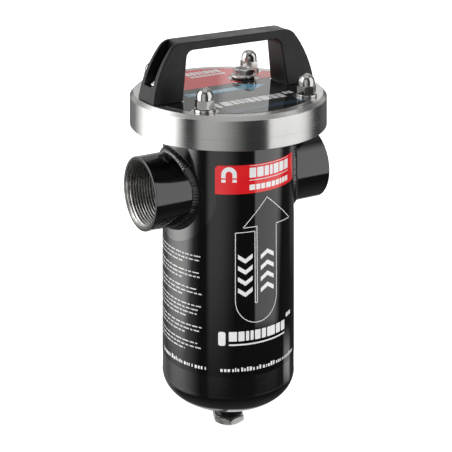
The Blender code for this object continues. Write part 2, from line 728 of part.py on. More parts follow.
build_body_tube()
build_dished_end()
build_socket("inlet_socket", -1)
build_socket("outlet_socket", 1)
build_port_weld("inlet_weld", -1)
build_port_weld("outlet_weld", 1)
build_body_flange()
build_lid_seal()
build_flow_divider()
build_drain()
build_lid()
for stud_index in range(4):
    build_stud(stud_index)
    build_washer(stud_index)
    build_dome_nut(stud_index)
build_handle()
build_handle_screw(1, -1)
build_handle_screw(2, 1)
build_vent()
build_body_label()
build_lid_label()
build_core_shell()
build_magnet_stack()
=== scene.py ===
"""Looks of a magnetic system filter: fine surfaces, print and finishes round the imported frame.

Everything is in metres in the frame's own axes: +Z up, ports along X, labelled front facing -Y.
"""

import math
import random

import bmesh
import bpy
from mathutils import Matrix, Vector, noise


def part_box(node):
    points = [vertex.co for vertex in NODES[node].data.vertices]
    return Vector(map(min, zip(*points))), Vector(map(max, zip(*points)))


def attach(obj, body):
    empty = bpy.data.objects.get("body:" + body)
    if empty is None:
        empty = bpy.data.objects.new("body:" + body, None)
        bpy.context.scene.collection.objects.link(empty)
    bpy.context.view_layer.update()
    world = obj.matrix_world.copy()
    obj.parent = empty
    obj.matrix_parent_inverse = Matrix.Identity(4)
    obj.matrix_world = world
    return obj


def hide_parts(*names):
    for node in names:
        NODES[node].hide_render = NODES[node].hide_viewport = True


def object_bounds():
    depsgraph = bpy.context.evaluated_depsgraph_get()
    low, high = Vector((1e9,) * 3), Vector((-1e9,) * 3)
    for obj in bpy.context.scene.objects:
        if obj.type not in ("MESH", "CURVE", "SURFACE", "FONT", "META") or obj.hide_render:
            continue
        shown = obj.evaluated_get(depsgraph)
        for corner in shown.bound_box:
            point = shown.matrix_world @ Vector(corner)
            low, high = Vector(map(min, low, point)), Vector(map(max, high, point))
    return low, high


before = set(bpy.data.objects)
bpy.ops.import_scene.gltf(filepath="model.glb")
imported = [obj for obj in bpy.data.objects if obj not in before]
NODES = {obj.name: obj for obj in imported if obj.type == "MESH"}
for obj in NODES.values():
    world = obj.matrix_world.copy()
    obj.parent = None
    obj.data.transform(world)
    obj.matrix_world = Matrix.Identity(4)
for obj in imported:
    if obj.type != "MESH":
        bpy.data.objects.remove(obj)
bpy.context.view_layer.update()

MM = 0.001
TINY = 1e-7
ROUND = 96  # sides of a round piece
SMALL_ROUND = 48
NUT_ROUND = 64
FINE_ROUND = 192
SOCKET_ROUND = 128
FLANGE_ROUND = 224

BODY = "filter_body"
LID_BODY = "lid_assembly"

# ---- sizes read from the frame

TUBE_LOW, TUBE_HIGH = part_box("body_tube")
TUBE_R = TUBE_HIGH.x
DISH_LOW, DISH_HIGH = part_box("dished_end")
SOCKET_LOW, SOCKET_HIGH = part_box("outlet_socket")
SOCKET_R = SOCKET_HIGH.y
PORT_REACH = SOCKET_HIGH.x
PORT_Z = (SOCKET_LOW.z + SOCKET_HIGH.z) / 2
FLANGE_LOW, FLANGE_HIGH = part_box("body_flange")
LID_LOW, LID_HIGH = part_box("lid")
FLANGE_R = FLANGE_HIGH.x
SEAL_LOW, SEAL_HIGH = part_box("lid_seal")
LABEL_LOW, LABEL_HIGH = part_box("body_label")
LABEL_R = TUBE_R + 0.16 * MM  # the film, drawn tighter to the vessel than in the frame
LID_LABEL_R = -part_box("lid_label")[0].y
LID_FILM_TOP = LID_HIGH.z + 0.16 * MM
HANDLE_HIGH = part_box("handle")[1]
VENT_LOW, VENT_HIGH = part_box("vent_plug")
VENT_SEAL_LOW, VENT_SEAL_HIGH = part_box("vent_seal")
VENT_X = (VENT_LOW.x + VENT_HIGH.x) / 2
VENT_Y = (VENT_LOW.y + VENT_HIGH.y) / 2
VENT_SPOT = (VENT_X, VENT_Y, 0)
BLEED_LOW, BLEED_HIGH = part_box("bleed_screw")
DRAIN_LOW, DRAIN_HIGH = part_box("drain_plug")
BOSS_LOW, BOSS_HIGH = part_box("drain_socket")
DRAIN_SEAL_LOW, DRAIN_SEAL_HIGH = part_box("drain_seal")

# Sizes that a box doesn't show
WALL = 3.0 * MM
PORT_BORE = 23.9 * MM  # major radius of the G1 1/2 thread
PORT_PITCH = 2.309 * MM
PORT_THREAD_DEPTH = 1.48 * MM
STUD_PITCH = 1.25 * MM  # M8
STUD_THREAD_DEPTH = 0.68 * MM
PLUG_PITCH = 1.337 * MM  # G1/4 and G3/8
PLUG_THREAD_DEPTH = 0.86 * MM
GROOVE_INNER = 52.8 * MM
GROOVE_OUTER = 56.0 * MM
GROOVE_DEPTH = 2.4 * MM
LID_CHAMFER = 2.8 * MM
HAIRLINE = 0.03 * MM  # gap drawn between faces that touch
NUT_FLATS = 13.0 * MM
NUT_HEX_HEIGHT = 6.5 * MM
NUT_DOME_R = 6.25 * MM
VENT_FLATS = 15.0 * MM
VENT_SHANK_R = 6.5 * MM
VENT_COLLAR_R = 10.0 * MM
VENT_COLLAR_THICK = 2.0 * MM
VENT_WELL_DEPTH = 2.6 * MM
BLEED_R = 3.0 * MM
DRAIN_FLATS = 22.0 * MM
DRAIN_HEX_HEIGHT = 5.0 * MM
DRAIN_SHANK_R = 8.0 * MM
HEX_TURNED = math.radians(30)  # slope of a hexagon's turned corners
VENT_PHASE = math.radians(43)
DRAIN_PHASE = math.radians(39)
PORT_GAP = 38.5 * MM  # the body label's cut-outs round the ports
NUT_GAP = 10.5 * MM  # the lid label's cut-outs
VENT_GAP = 12.5 * MM
FOOT_GAP = 1.4 * MM
PRINT_THICK = 0.04 * MM
PRINT_GAP = 0.02 * MM
PRINT_OVER = 0.05 * MM  # rise of print that lies on other print
PRINT_SLICE = 1.2 * MM  # print is cut this fine before it is bent round the body
OVER = 1.0 * MM  # how far a cutter runs past what it cuts


# ---- mesh tools

def keep(name, cage):
    """Turn a bmesh into an object of the scene."""
    bmesh.ops.recalc_face_normals(cage, faces=cage.faces)
    mesh = bpy.data.meshes.new(name)
    cage.to_mesh(mesh)
    cage.free()
    obj = bpy.data.objects.new(name, mesh)
    bpy.context.scene.collection.objects.link(obj)
    return obj


def settle(obj):
    """Bake an object's modifiers into its mesh."""
    bpy.context.view_layer.update()
    graph = bpy.context.evaluated_depsgraph_get()
    mesh = bpy.data.meshes.new_from_object(obj.evaluated_get(graph))
    obj.modifiers.clear()
    obj.data = mesh
    return obj


def triangulate(obj):
    """Split faces of many sides, which a boolean can misread."""
    cage = bmesh.new()
    cage.from_mesh(obj.data)
    many = [face for face in cage.faces if len(face.verts) > 4]
    bmesh.ops.triangulate(cage, faces=many, ngon_method="EAR_CLIP")
    cage.to_mesh(obj.data)
    cage.free()
    return obj


def combine(obj, operation, *others):
    """Boolean with other objects, which are used up."""
    triangulate(obj)
    for other in others:
        triangulate(other)
        modifier = obj.modifiers.new("combine", "BOOLEAN")
        modifier.operation = operation
        modifier.solver = "EXACT"
        modifier.object = other
    settle(obj)
    for other in others:
        bpy.data.objects.remove(other)
    return obj


def cut(obj, *cutters):
    return combine(obj, "DIFFERENCE", *cutters)


def bake_place(obj, matrix):
    obj.data.transform(matrix)
    return obj


def round_edges(obj, width, segments=3, angle=40):
    bevel = obj.modifiers.new("round", "BEVEL")
    bevel.width = width
    bevel.segments = segments
    bevel.limit_method = "ANGLE"
    bevel.angle_limit = math.radians(angle)
    bevel.use_clamp_overlap = True
    return settle(obj)


def shade(obj, angle=32):
    """Smooth shading with crisp edges, and normals weighted so that flat faces stay flat."""
    obj.data.shade_smooth()
    obj.data.set_sharp_from_angle(angle=math.radians(angle))
    weights = obj.modifiers.new("weights", "WEIGHTED_NORMAL")
    weights.keep_sharp = True
    weights.weight = 80
    return settle(obj)


def dress(obj, finish, body, *nodes, angle=32, at=(0, 0, 0)):
    """Shade and place a piece, give it material, and set it on a body in place of nodes."""
    shade(obj, angle)
    obj.location = at
    slot, material = finish
    obj.data.materials.clear()
    obj.data.materials.append(material)
    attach(obj, body)
    if nodes:
        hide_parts(*nodes)


def rounded(corners, steps=5):
    """Closed outline of (a, b, radius) corners, each radius worked out as an arc."""
    outline = []
    for i, (a, b, radius) in enumerate(corners):
        corner = Vector((a, b))
        if radius == 0:
            outline.append(corner)
            continue
        before = (Vector(corners[i - 1][:2]) - corner).normalized()
        after = (Vector(corners[(i + 1) % len(corners)][:2]) - corner).normalized()
        half_angle = before.angle(after) / 2
        centre = corner + (before + after).normalized() * radius / math.sin(half_angle)
        start = (corner + before * radius / math.tan(half_angle) - centre).normalized()
        end = (corner + after * radius / math.tan(half_angle) - centre).normalized()
        for k in range(steps + 1):
            outline.append(centre + start.slerp(end, k / steps) * radius)
    return outline


def polar(radius, angle):
    return radius * math.cos(angle), radius * math.sin(angle)


def turns(count):
    """Angles of the corners of a round piece."""
    return [2 * math.pi * i / count for i in range(count)]


def half_circle(radius, steps):
    return [polar(radius, math.pi * i / steps) for i in range(steps + 1)]


def quarter(share):
    """Cosine and sine part of the way through a quarter turn."""
    return polar(1, math.pi / 2 * share)


def skin(cage, rings, closed):
    """Faces between neighbouring rings of vertices; a ring of one vertex is a pole."""
    following = rings[1:] + rings[:1] if closed else rings[1:]
    count = max(len(ring) for ring in rings)
    for first, second in zip(rings, following):
        for i in range(count):
            j = (i + 1) % count
            around = [first[i % len(first)], first[j % len(first)],
                      second[j % len(second)], second[i % len(second)]]
            loop = list(dict.fromkeys(around))
            if len(loop) > 2:
                cage.faces.new(loop)


def lathe(name, corners, segments=ROUND, steps=4, centre=(0, 0)):
    """Solid turned about an upright axis from an outline of (radius, height, rounding in mm)."""
    cage = bmesh.new()
    rings = []
    corners = [(radius, height, edge * MM) for radius, height, edge in corners]
    for radius, height in rounded(corners, steps):
        points = [polar(radius, a) for a in turns(segments if radius > TINY else 1)]
        rings.append([cage.verts.new((centre[0] + x, centre[1] + y, height)) for x, y in points])
    skin(cage, rings, closed=True)
    return keep(name, cage)


def spindle(name, corners, segments=ROUND, steps=4, centre=(0, 0)):
    """Turned solid that is full to its axis between its first and last corners."""
    ends = [(0, corners[i][1], 0) for i in (0, -1)]
    return lathe(name, ends[:1] + corners + ends[1:], segments, steps, centre)


def disc(name, radius, low, high, segments=SMALL_ROUND, centre=(0, 0), edge=0):
    return spindle(name, [(radius, high, edge), (radius, low, edge)], segments, centre=centre)


def ring(name, outer, inner, low, high, edges=(0, 0, 0, 0), segments=ROUND, steps=4):
    """Turned ring, its edges rounded in mm: outer top, outer foot, inner foot and inner top."""
    places = [(outer, high), (outer, low), (inner, low), (inner, high)]
    corners = [(*place, edge) for place, edge in zip(places, edges)]
    return lathe(name, corners, segments, steps)


def holes_over(node, count, name, radius, low, high, segments=SMALL_ROUND):
    """Discs that stand on numbered nodes."""
    spots = [centre_of(f"{node}_{i}") for i in range(1, count + 1)]
    return [disc(f"{name}_{i}", radius, low, high, segments, (spot.x, spot.y))
            for i, spot in enumerate(spots)]


def prism(name, outline, low, high):
    """Upright-walled solid on an outline of (x, y) points."""
    cage = bmesh.new()
    face = cage.faces.new([cage.verts.new((p[0], p[1], low)) for p in outline])
    result = bmesh.ops.extrude_face_region(cage, geom=[face])
    moved = [item for item in result["geom"] if isinstance(item, bmesh.types.BMVert)]
    bmesh.ops.translate(cage, verts=moved, vec=(0, 0, high - low))
    return keep(name, cage)


def box(name, low, high):
    outline = [(low[0], low[1]), (high[0], low[1]), (high[0], high[1]), (low[0], high[1])]
    return prism(name, outline, low[2], high[2])


def groove(phase):
    """Depth of a thread's V at a phase of its pitch: 0 on the crest, 1 in the root."""
    slope = abs((phase % 1.0) - 0.5) * 2
    return min(1.0, max(0.0, (slope - 0.13) / 0.74))


def thread_rings(cage, radius_at, low, high, pitch, around):
    """Rings of a helical surface, whose radius depends on its phase and height."""
    rings = []
    steps = math.ceil((high - low) / pitch * 12)
    for k in range(steps + 1):
        height = low + (high - low) * k / steps
        points = [polar(radius_at(height / pitch - i / around, height), a)
                  for i, a in enumerate(turns(around))]
        rings.append([cage.verts.new((x, y, height)) for x, y in points])
    return rings


def threaded_rod(name, major, depth, pitch, low, high, around):
    """External thread with its two ends turned down."""
    def radius_at(phase, height):
        taper = min(height - low, high - height)
        return min(major - depth * groove(phase), major - depth * 1.15 + taper)

    cage = bmesh.new()
    rings = thread_rings(cage, radius_at, low, high, pitch, around)
    bottom = [cage.verts.new((0, 0, low))]
    top = [cage.verts.new((0, 0, high))]
    skin(cage, [bottom] + rings + [top], closed=False)
    return keep(name, cage)


def threaded_sleeve(name, outer, major, depth, pitch, low, high, around):
    """Thin sleeve with an internal thread, opened out at its top end."""
    def radius_at(phase, height):
        return max(major - depth * (1 - groove(phase)), major - (high - height))

    cage = bmesh.new()
    rings = thread_rings(cage, radius_at, low, high, pitch, around)
    for height in (high, low):
        rings.append([cage.verts.new((*polar(outer, a), height)) for a in turns(around)])
    skin(cage, rings, closed=True)
    return keep(name, cage)


def hexagon(name, flats, low, high, phase, both_ends=True):
    """Hexagon with its corners turned down at its top, or at both ends, centred on the axis."""
    corner = flats / math.sqrt(3)
    angles = [phase + math.radians(30 + 60 * i) for i in range(6)]
    solid = prism(name, [polar(corner, a) for a in angles], low, high)
    round_edges(solid, 0.12 * MM, 2)
    face = 0.955 * flats / 2
    out = corner * 1.03
    drop = (out - face) * math.tan(HEX_TURNED)
    corners = [(face, high, 0.2), (out, high - drop, 0)]
    if both_ends:
        corners += [(out, low + drop, 0), (face, low, 0.2)]
    else:
        corners.append((out, low - OVER, 0))
    return combine(solid, "INTERSECT", spindle(name + "_turned", corners, steps=2))


def centre_of(node):
    low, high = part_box(node)
    return (low + high) / 2


# ---- material tools

class Nodes:
    """A material's node tree, with short calls for the nodes used here."""

    def __init__(self, tree):
        self.tree = tree

    def add(self, kind, **settings):
        node = self.tree.nodes.new(kind)
        for key, value in settings.items():
            setattr(node, key, value)
        return node

    def feed(self, socket, value):
        if isinstance(value, bpy.types.NodeSocket):
            self.tree.links.new(value, socket)
        else:
            socket.default_value = value

    def set(self, **inputs):
        """Feed the material's shader, each input named with _ for its spaces."""
        shader = self.tree.nodes["Principled BSDF"]
        for name, value in inputs.items():
            self.feed(shader.inputs[name.replace("_", " ")], value)

    def math(self, operation, a, b=0.0, c=0.0):
        node = self.add("ShaderNodeMath", operation=operation)
        for socket, value in zip(node.inputs, (a, b, c)):
            self.feed(socket, value)
        return node.outputs[0]

    def remap(self, value, low, high, to_low=0.0, to_high=1.0):
        """A smooth step between two values."""
        node = self.add("ShaderNodeMapRange", interpolation_type="SMOOTHSTEP")
        for socket, item in zip(node.inputs, (value, low, high, to_low, to_high)):
            self.feed(socket, item)
        return node.outputs[0]

    def noise(self, scale, detail=2.0, roughness=0.5, vector=None):
        node = self.add("ShaderNodeTexNoise")
        self.feed(node.inputs["Vector"], vector or self.place())
        node.inputs["Scale"].default_value = scale
        node.inputs["Detail"].default_value = detail
        node.inputs["Roughness"].default_value = roughness
        return node.outputs["Fac"]

    def mix(self, factor, first, second):
        node = self.add("ShaderNodeMix", data_type="RGBA")
        self.feed(node.inputs["Factor"], factor)
        self.feed(node.inputs["A"], (*first, 1))
        self.feed(node.inputs["B"], (*second, 1))
        return node.outputs["Result"]

    def bump(self, height, distance, strength):
        node = self.add("ShaderNodeBump")
        node.inputs["Distance"].default_value = distance
        node.inputs["Strength"].default_value = strength
        self.feed(node.inputs["Height"], height)
        return node.outputs["Normal"]

    def place(self):
        """The surface point in the piece's own axes, which are the frame's at rest."""
        return self.add("ShaderNodeTexCoord").outputs["Object"]


def material(name, color, roughness, metallic=0.0, **inputs):
    made = bpy.data.materials.new(name)
    made.use_nodes = True
    nodes = Nodes(made.node_tree)
    nodes.set(Base_Color=(*color, 1.0), Roughness=roughness, Metallic=metallic, **inputs)
    return made, nodes


def gloss_paint():
    """Black stoved gloss: fine orange peel under a clear skin."""
    made, nodes = material("gloss_paint", (0.002, 0.002, 0.0022), 0.13, Coat_Weight=1.0,
                           Coat_Roughness=0.04)
    peel = nodes.noise(420.0, 3.0)
    wave = nodes.noise(60.0)
    normal = nodes.bump(nodes.math("MULTIPLY_ADD", wave, 2.0, peel), 0.012 * MM, 0.3)
    nodes.set(Normal=normal, Coat_Normal=normal, Roughness=nodes.remap(wave, 0.3, 0.7, 0.11, 0.15))
    return made


def grained(name, color, metallic, grain, bump, haze, span, dark=None, **inputs):
    """Plain material: fine grain, and a haze that moves the roughness and mixes in a dark tone."""
    made, nodes = material(name, color, 0.5, metallic, **inputs)
    fine = nodes.noise(*grain)
    drift = nodes.noise(*haze) if haze else fine
    nodes.set(Normal=nodes.bump(fine, *bump), Roughness=nodes.remap(drift, *span))
    if dark:
        nodes.set(Base_Color=nodes.mix(nodes.remap(drift, 0.35, 0.68), dark, color))
    return made


def satin_paint():
    """The same paint where it went on thin and dull, over a cut face."""
    return grained("satin_paint", (0.003, 0.003, 0.003), 0.0, (900.0, 3.0), (0.02 * MM, 0.4), None,
                   (0.3, 0.7, 0.3, 0.42), Specular_IOR_Level=0.3)


def turned_steel():
    """Lathe-turned stainless: fine rings round the axis that stretch every highlight across them."""
    made, nodes = material("turned_stainless", (0.66, 0.66, 0.655), 0.26, 1.0, Anisotropic=0.8,
                           Anisotropic_Rotation=0.25)
    split = nodes.add("ShaderNodeSeparateXYZ")
    nodes.feed(split.inputs[0], nodes.place())
    across = nodes.math("SQRT", nodes.math("ADD", nodes.math("POWER", split.outputs["X"], 2.0),
                                           nodes.math("POWER", split.outputs["Y"], 2.0)))
    rings = nodes.add("ShaderNodeCombineXYZ")
    nodes.feed(rings.inputs["X"], across)
    nodes.feed(rings.inputs["Z"], split.outputs["Z"])
    fine = nodes.noise(5200.0, vector=rings.outputs[0])
    coarse = nodes.noise(900.0, 3.0, 0.7, rings.outputs[0])
    cloud = nodes.noise(45.0, 3.0)
    height = nodes.math("MULTIPLY_ADD", coarse, 0.6, fine)
    tone = nodes.remap(nodes.math("MULTIPLY_ADD", coarse, 0.5, cloud), 0.45, 1.05)
    tangent = nodes.add("ShaderNodeTangent", direction_type="RADIAL", axis="Z")
    nodes.set(
        Normal=nodes.bump(height, 0.006 * MM, 0.5),
        Roughness=nodes.math("MULTIPLY_ADD", coarse, 0.16, nodes.remap(cloud, 0.3, 0.7, 0.14, 0.2)),
        Base_Color=nodes.mix(tone, (0.60, 0.60, 0.595), (0.72, 0.715, 0.71)),
        Tangent=tangent.outputs[0],
    )
    return made


def bright_steel(name="bright_stainless", roughness=0.13, color=(0.56, 0.555, 0.545)):
    """Polished fastener steel with faint marks and a little haze."""
    return grained(name, color, 1.0, (2600.0,), (0.004 * MM, 0.35), (300.0, 4.0, 0.6),
                   (0.35, 0.7, roughness * 0.8, roughness * 1.7))


def bare_steel(name, color, dark, roughness=0.34):
    """Plain machined or drawn steel with a patchy oxide tone."""
    return grained(name, color, 1.0, (2200.0, 3.0), (0.01 * MM, 0.5), (130.0, 5.0, 0.62),
                   (0.3, 0.7, roughness * 1.25, roughness * 0.8), dark)


def grained_plastic():
    """Glass-filled nylon: matt black with a fine spark-eroded grain."""
    made, nodes = material("grained_nylon", (0.009, 0.0088, 0.0085), 0.36, Specular_IOR_Level=0.33)
    cells = nodes.add("ShaderNodeTexVoronoi", feature="SMOOTH_F1")
    cells.inputs["Scale"].default_value = 1500.0
    nodes.feed(cells.inputs["Vector"], nodes.place())
    grain = nodes.noise(1900.0, 3.0)
    cloud = nodes.noise(70.0, 3.0)
    height = nodes.math("ADD", cells.outputs["Distance"], grain)
    tone = nodes.remap(grain, 0.4, 0.7)
    nodes.set(Normal=nodes.bump(height, 0.05 * MM, 0.45),
              Roughness=nodes.remap(cloud, 0.3, 0.7, 0.32, 0.42),
              Base_Color=nodes.mix(tone, (0.006, 0.0058, 0.0056), (0.013, 0.0127, 0.0124)))
    return made


def gloss_film(name, color, other):
    """Laminated print: even colour under a clear film that is never quite level."""
    made, nodes = material(name, color, 0.3, Coat_Weight=1.0, Coat_Roughness=0.02, Coat_IOR=1.62,
                           Specular_IOR_Level=0.0)
    ripple = nodes.noise(70.0)
    normal = nodes.bump(ripple, 0.03 * MM, 0.4)
    nodes.set(Normal=normal, Coat_Normal=normal,
              Base_Color=nodes.mix(nodes.remap(ripple, 0.35, 0.65), color, other))
    return made


def seal_rubber():
    return grained("nitrile", (0.013, 0.013, 0.013), 0.0, (350.0, 4.0), (0.03 * MM, 0.4), None,
                   (0.3, 0.7, 0.45, 0.7))


def film(name, color, other):
    """Finish of a label or its print, in a colour that drifts towards another."""
    return "label_film", gloss_film("film_" + name, color, other)


PAINT = ("vessel_paint", gloss_paint())
SATIN = ("vessel_paint", satin_paint())
TURNED = ("turned_steel", turned_steel())
BRIGHT = ("bright_steel", bright_steel())
DULL = ("bright_steel", bright_steel("handled_stainless", 0.24, (0.68, 0.675, 0.66)))
ZINC = ("bright_steel", bright_steel("plated_steel", 0.36, (0.82, 0.81, 0.79)))
STEEL = ("bare_steel", bare_steel("machined_steel", (0.52, 0.515, 0.5), (0.36, 0.355, 0.345)))
THREAD = ("port_thread", bare_steel("port_steel", (0.6, 0.59, 0.575), (0.36, 0.355, 0.345), 0.26))
BARE_EDGE = ("port_thread", bare_steel("cut_edge", (0.3, 0.295, 0.285), (0.2, 0.195, 0.19), 0.3))
MAGNET = ("magnet_metal", bare_steel("nickel_plate", (0.66, 0.66, 0.64), (0.55, 0.55, 0.54), 0.2))
POLE = ("pole_steel", bare_steel("pole_steel", (0.34, 0.34, 0.34), (0.24, 0.24, 0.24), 0.4))
PLASTIC = ("handle_plastic", grained_plastic())
RUBBER = ("seal_rubber", seal_rubber())
FILM = film("black", (0.002, 0.002, 0.0024), (0.0028, 0.0028, 0.003))
RED = film("red", (0.66, 0.012, 0.018), (0.7, 0.018, 0.022))
WHITE = film("white", (0.82, 0.82, 0.82), (0.78, 0.78, 0.79))
GREY_WHITE = film("pale", (0.62, 0.62, 0.62), (0.56, 0.56, 0.57))
BLUE = film("blue", (0.16, 0.42, 0.6), (0.2, 0.46, 0.63))
PALE_BLUE = film("pale_blue", (0.5, 0.66, 0.74), (0.46, 0.62, 0.72))
DEEP_BLUE = film("deep_blue", (0.012, 0.035, 0.06), (0.016, 0.042, 0.07))


# ---- vessel

def port_place(side):
    """From a turned piece's upright axis to a port's axis, its top end outwards."""
    return Matrix.Translation((0, 0, PORT_Z)) @ Matrix.Rotation(side * math.pi / 2, 4, "Y")


def build_tube():
    tube = ring("vessel_tube", TUBE_R, TUBE_R - WALL, TUBE_LOW.z, TUBE_HIGH.z, (0.4, 0, 0, 0.4),
                FINE_ROUND)
    hole = bake_place(disc("port_hole", PORT_BORE, -PORT_REACH, PORT_REACH, 96), port_place(1))
    cut(tube, hole)
    dress(tube, PAINT, BODY, "body_tube")


def build_dish():
    """Semi-elliptical end, bored for the drain boss."""
    depth = DISH_HIGH.z - DISH_LOW.z
    steps = 40
    outer = []
    inner = []
    for i in range(steps + 1):
        across, down = quarter(i / steps)
        outer.append((TUBE_R * across, DISH_HIGH.z - depth * down, 0))
        inner.append(((TUBE_R - WALL) * across, DISH_HIGH.z - (depth - WALL) * down, 0))
    dish = lathe("dished_base", outer + inner[::-1], FINE_ROUND)
    cut(dish, disc("boss_hole", BOSS_HIGH.x + 0.1 * MM, 0, DISH_HIGH.z, ROUND))
    dress(dish, PAINT, BODY, "dished_end")


def build_port(name, side):
    """Socket coped on to the vessel, with a bare threaded bore and a satin end face."""
    place = port_place(side)
    chamfer = 1.0 * MM
    mouth = PORT_BORE + chamfer
    root = 20 * MM
    corners = [
        (mouth, PORT_REACH, 0.25),
        (SOCKET_R, PORT_REACH, 0.6),
        (SOCKET_R, root, 0),
        (PORT_BORE, root, 0),
        (PORT_BORE, PORT_REACH - chamfer, 0),
    ]
    socket = bake_place(lathe(name + "_sleeve", corners, SOCKET_ROUND), place)
    cut(socket, disc("cope", TUBE_R - 0.3 * MM, 0, LID_HIGH.z, FINE_ROUND))
    dress(socket, PAINT, BODY, name + "_socket")

    thread = threaded_sleeve(name + "_thread", PORT_BORE - 0.05 * MM, PORT_BORE - 0.1 * MM,
                             PORT_THREAD_DEPTH, PORT_PITCH, TUBE_R + 0.6 * MM,
                             PORT_REACH - 0.9 * MM, SOCKET_ROUND)
    dress(bake_place(thread, place), THREAD, BODY, angle=60)

    cone = [(mouth - 0.1 * MM, PORT_REACH - 0.02 * MM, 0),
            (mouth + 0.12 * MM, PORT_REACH + 0.02 * MM, 0),
            (mouth + 0.12 * MM, PORT_REACH - 0.3 * MM, 0),
            (PORT_BORE + 0.2 * MM, PORT_REACH - chamfer - 0.2 * MM, 0),
            (PORT_BORE - 0.12 * MM, PORT_REACH - chamfer - 0.1 * MM, 0)]
    rim = bake_place(lathe(name + "_rim", cone, SOCKET_ROUND), place)
    dress(rim, BARE_EDGE, BODY)

    face = ring(name + "_face", SOCKET_R - 0.75 * MM, mouth + 0.14 * MM, PORT_REACH - 0.1 * MM,
                PORT_REACH + 0.015 * MM, segments=SOCKET_ROUND)
    dress(bake_place(face, place), SATIN, BODY)


def build_weld(name, side):
    """Hand-laid fillet round a socket: an uneven bead with overlapping ripples."""
    cage = bmesh.new()
    around = 420
    across = 12
    ripples = 84
    sunk = 0.25 * MM
    rings = []
    for i, turn in enumerate(turns(around)):
        c, s = polar(1, turn)
        wander = noise.noise(Vector((c * 2.2, s * 2.2, side * 3.0)))
        lumps = noise.noise(Vector((c * 9.0, s * 9.0, side * 5.0)))
        ripple = (i * ripples / around) % 1.0
        leg = (3.7 + 0.7 * wander + 0.35 * lumps + 0.3 * math.sqrt(ripple)) * MM
        section = []
        for k in range(across + 1):
            along, up = quarter(k / across)
            section.append((max(0.0, along) ** 1.15 * leg - sunk, up ** 1.15 * leg - sunk))
        section.append((-0.6 * MM, -0.6 * MM))
        verts = []
        for out, up in section:
            reach = SOCKET_R + out
            x = side * math.sqrt((TUBE_R + up) ** 2 - (reach * c) ** 2)
            verts.append(cage.verts.new((x, reach * c, PORT_Z + reach * s)))
        rings.append(verts)
    skin(cage, rings, closed=True)
    dress(keep(name + "_bead", cage), PAINT, BODY, name + "_weld", angle=70)


def build_flange():
    groove_floor = FLANGE_HIGH.z - GROOVE_DEPTH
    corners = [
        (FLANGE_R, FLANGE_HIGH.z, 0.05),
        (FLANGE_R, FLANGE_LOW.z, 0.5),
        (TUBE_R + 0.1 * MM, FLANGE_LOW.z, 0.2),
        (TUBE_R + 0.1 * MM, FLANGE_HIGH.z, 0.2),
        (GROOVE_INNER, FLANGE_HIGH.z, 0.1),
        (GROOVE_INNER, groove_floor, 0.3),
        (GROOVE_OUTER, groove_floor, 0.3),
        (GROOVE_OUTER, FLANGE_HIGH.z, 0.1),
    ]
    holes = holes_over("stud", 4, "hole", 4.15 * MM, FLANGE_LOW.z - WALL, FLANGE_HIGH.z + WALL)
    flange = cut(lathe("flange_ring", corners, FLANGE_ROUND), *holes)
    dress(flange, TURNED, BODY, "body_flange")


def build_fillets():
    """Ground-down seam of the dished end, and the welds under the flange and round the boss."""
    crown = TUBE_R + 0.12 * MM
    root = TUBE_R - 1 * MM
    z = (TUBE_LOW.z + DISH_HIGH.z) / 2
    seam = [(crown, z + 0.5 * MM, 0.1), (crown, z - 0.5 * MM, 0.1), (root, z - 1.2 * MM, 0),
            (root, z + 1.2 * MM, 0)]
    dress(lathe("base_seam", seam, FINE_ROUND), PAINT, BODY)

    leg = 2.2 * MM
    z = FLANGE_LOW.z
    fillet = [(TUBE_R + leg, z + 0.1 * MM, 0), (TUBE_R + 0.45 * leg, z - 0.45 * leg, 0.66),
              (TUBE_R - 0.1 * MM, z - leg, 0), (TUBE_R - 0.5 * MM, z + 0.1 * MM, 0)]
    dress(lathe("flange_fillet", fillet, FINE_ROUND), PAINT, BODY, angle=50)

    outer = BOSS_HIGH.x
    z = DISH_LOW.z + 0.7 * MM
    fillet = [(outer + 2.3 * MM, z + 0.4 * MM, 0), (outer + 0.9 * MM, z - 0.9 * MM, 0.6),
              (outer - 0.1 * MM, z - 2.2 * MM, 0), (outer - 0.5 * MM, z + 1.5 * MM, 0)]
    dress(lathe("boss_fillet", fillet, SOCKET_ROUND), PAINT, BODY, angle=60)


def build_lid_seal():
    bulge = (SEAL_HIGH.z - SEAL_LOW.z) * 0.48 / MM
    seal = ring("o_ring", SEAL_HIGH.x, GROOVE_INNER + 0.3 * MM, SEAL_LOW.z, SEAL_HIGH.z, (bulge,) * 4,
                FINE_ROUND, 8)
    dress(seal, RUBBER, BODY, "lid_seal", angle=60)


def build_divider():
    """The folded plate that sends the water down one side of the core and up the other."""
    cage = bmesh.new()
    cage.from_mesh(NODES["flow_divider"].data)
    bmesh.ops.remove_doubles(cage, verts=cage.verts, dist=0.001 * MM)
    plate = round_edges(keep("divider_plate", cage), 0.4 * MM, 2)
    dress(plate, STEEL, BODY, "flow_divider")


# ---- fasteners

def build_studs():
    for i in range(1, 5):
        low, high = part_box(f"stud_{i}")
        middle = (low + high) / 2
        rod = threaded_rod(f"threaded_stud_{i}", high.x - middle.x, STUD_THREAD_DEPTH, STUD_PITCH,
                           0, high.z - low.z, 40)
        dress(rod, BRIGHT, BODY, f"stud_{i}", angle=60, at=(middle.x, middle.y, low.z))


def build_washer(index):
    low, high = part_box(f"washer_{index}")
    middle = (low + high) / 2
    base = LID_HIGH.z + HAIRLINE
    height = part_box(f"dome_nut_{index}")[0].z - HAIRLINE - base
    washer = ring(f"flat_washer_{index}", (high.x - low.x) / 2, 4.3 * MM, 0, height,
                  (0.45, 0.2, 0.2, 0.3), NUT_ROUND)
    dress(washer, BRIGHT, f"washer_{index}", f"washer_{index}", at=(middle.x, middle.y, base))


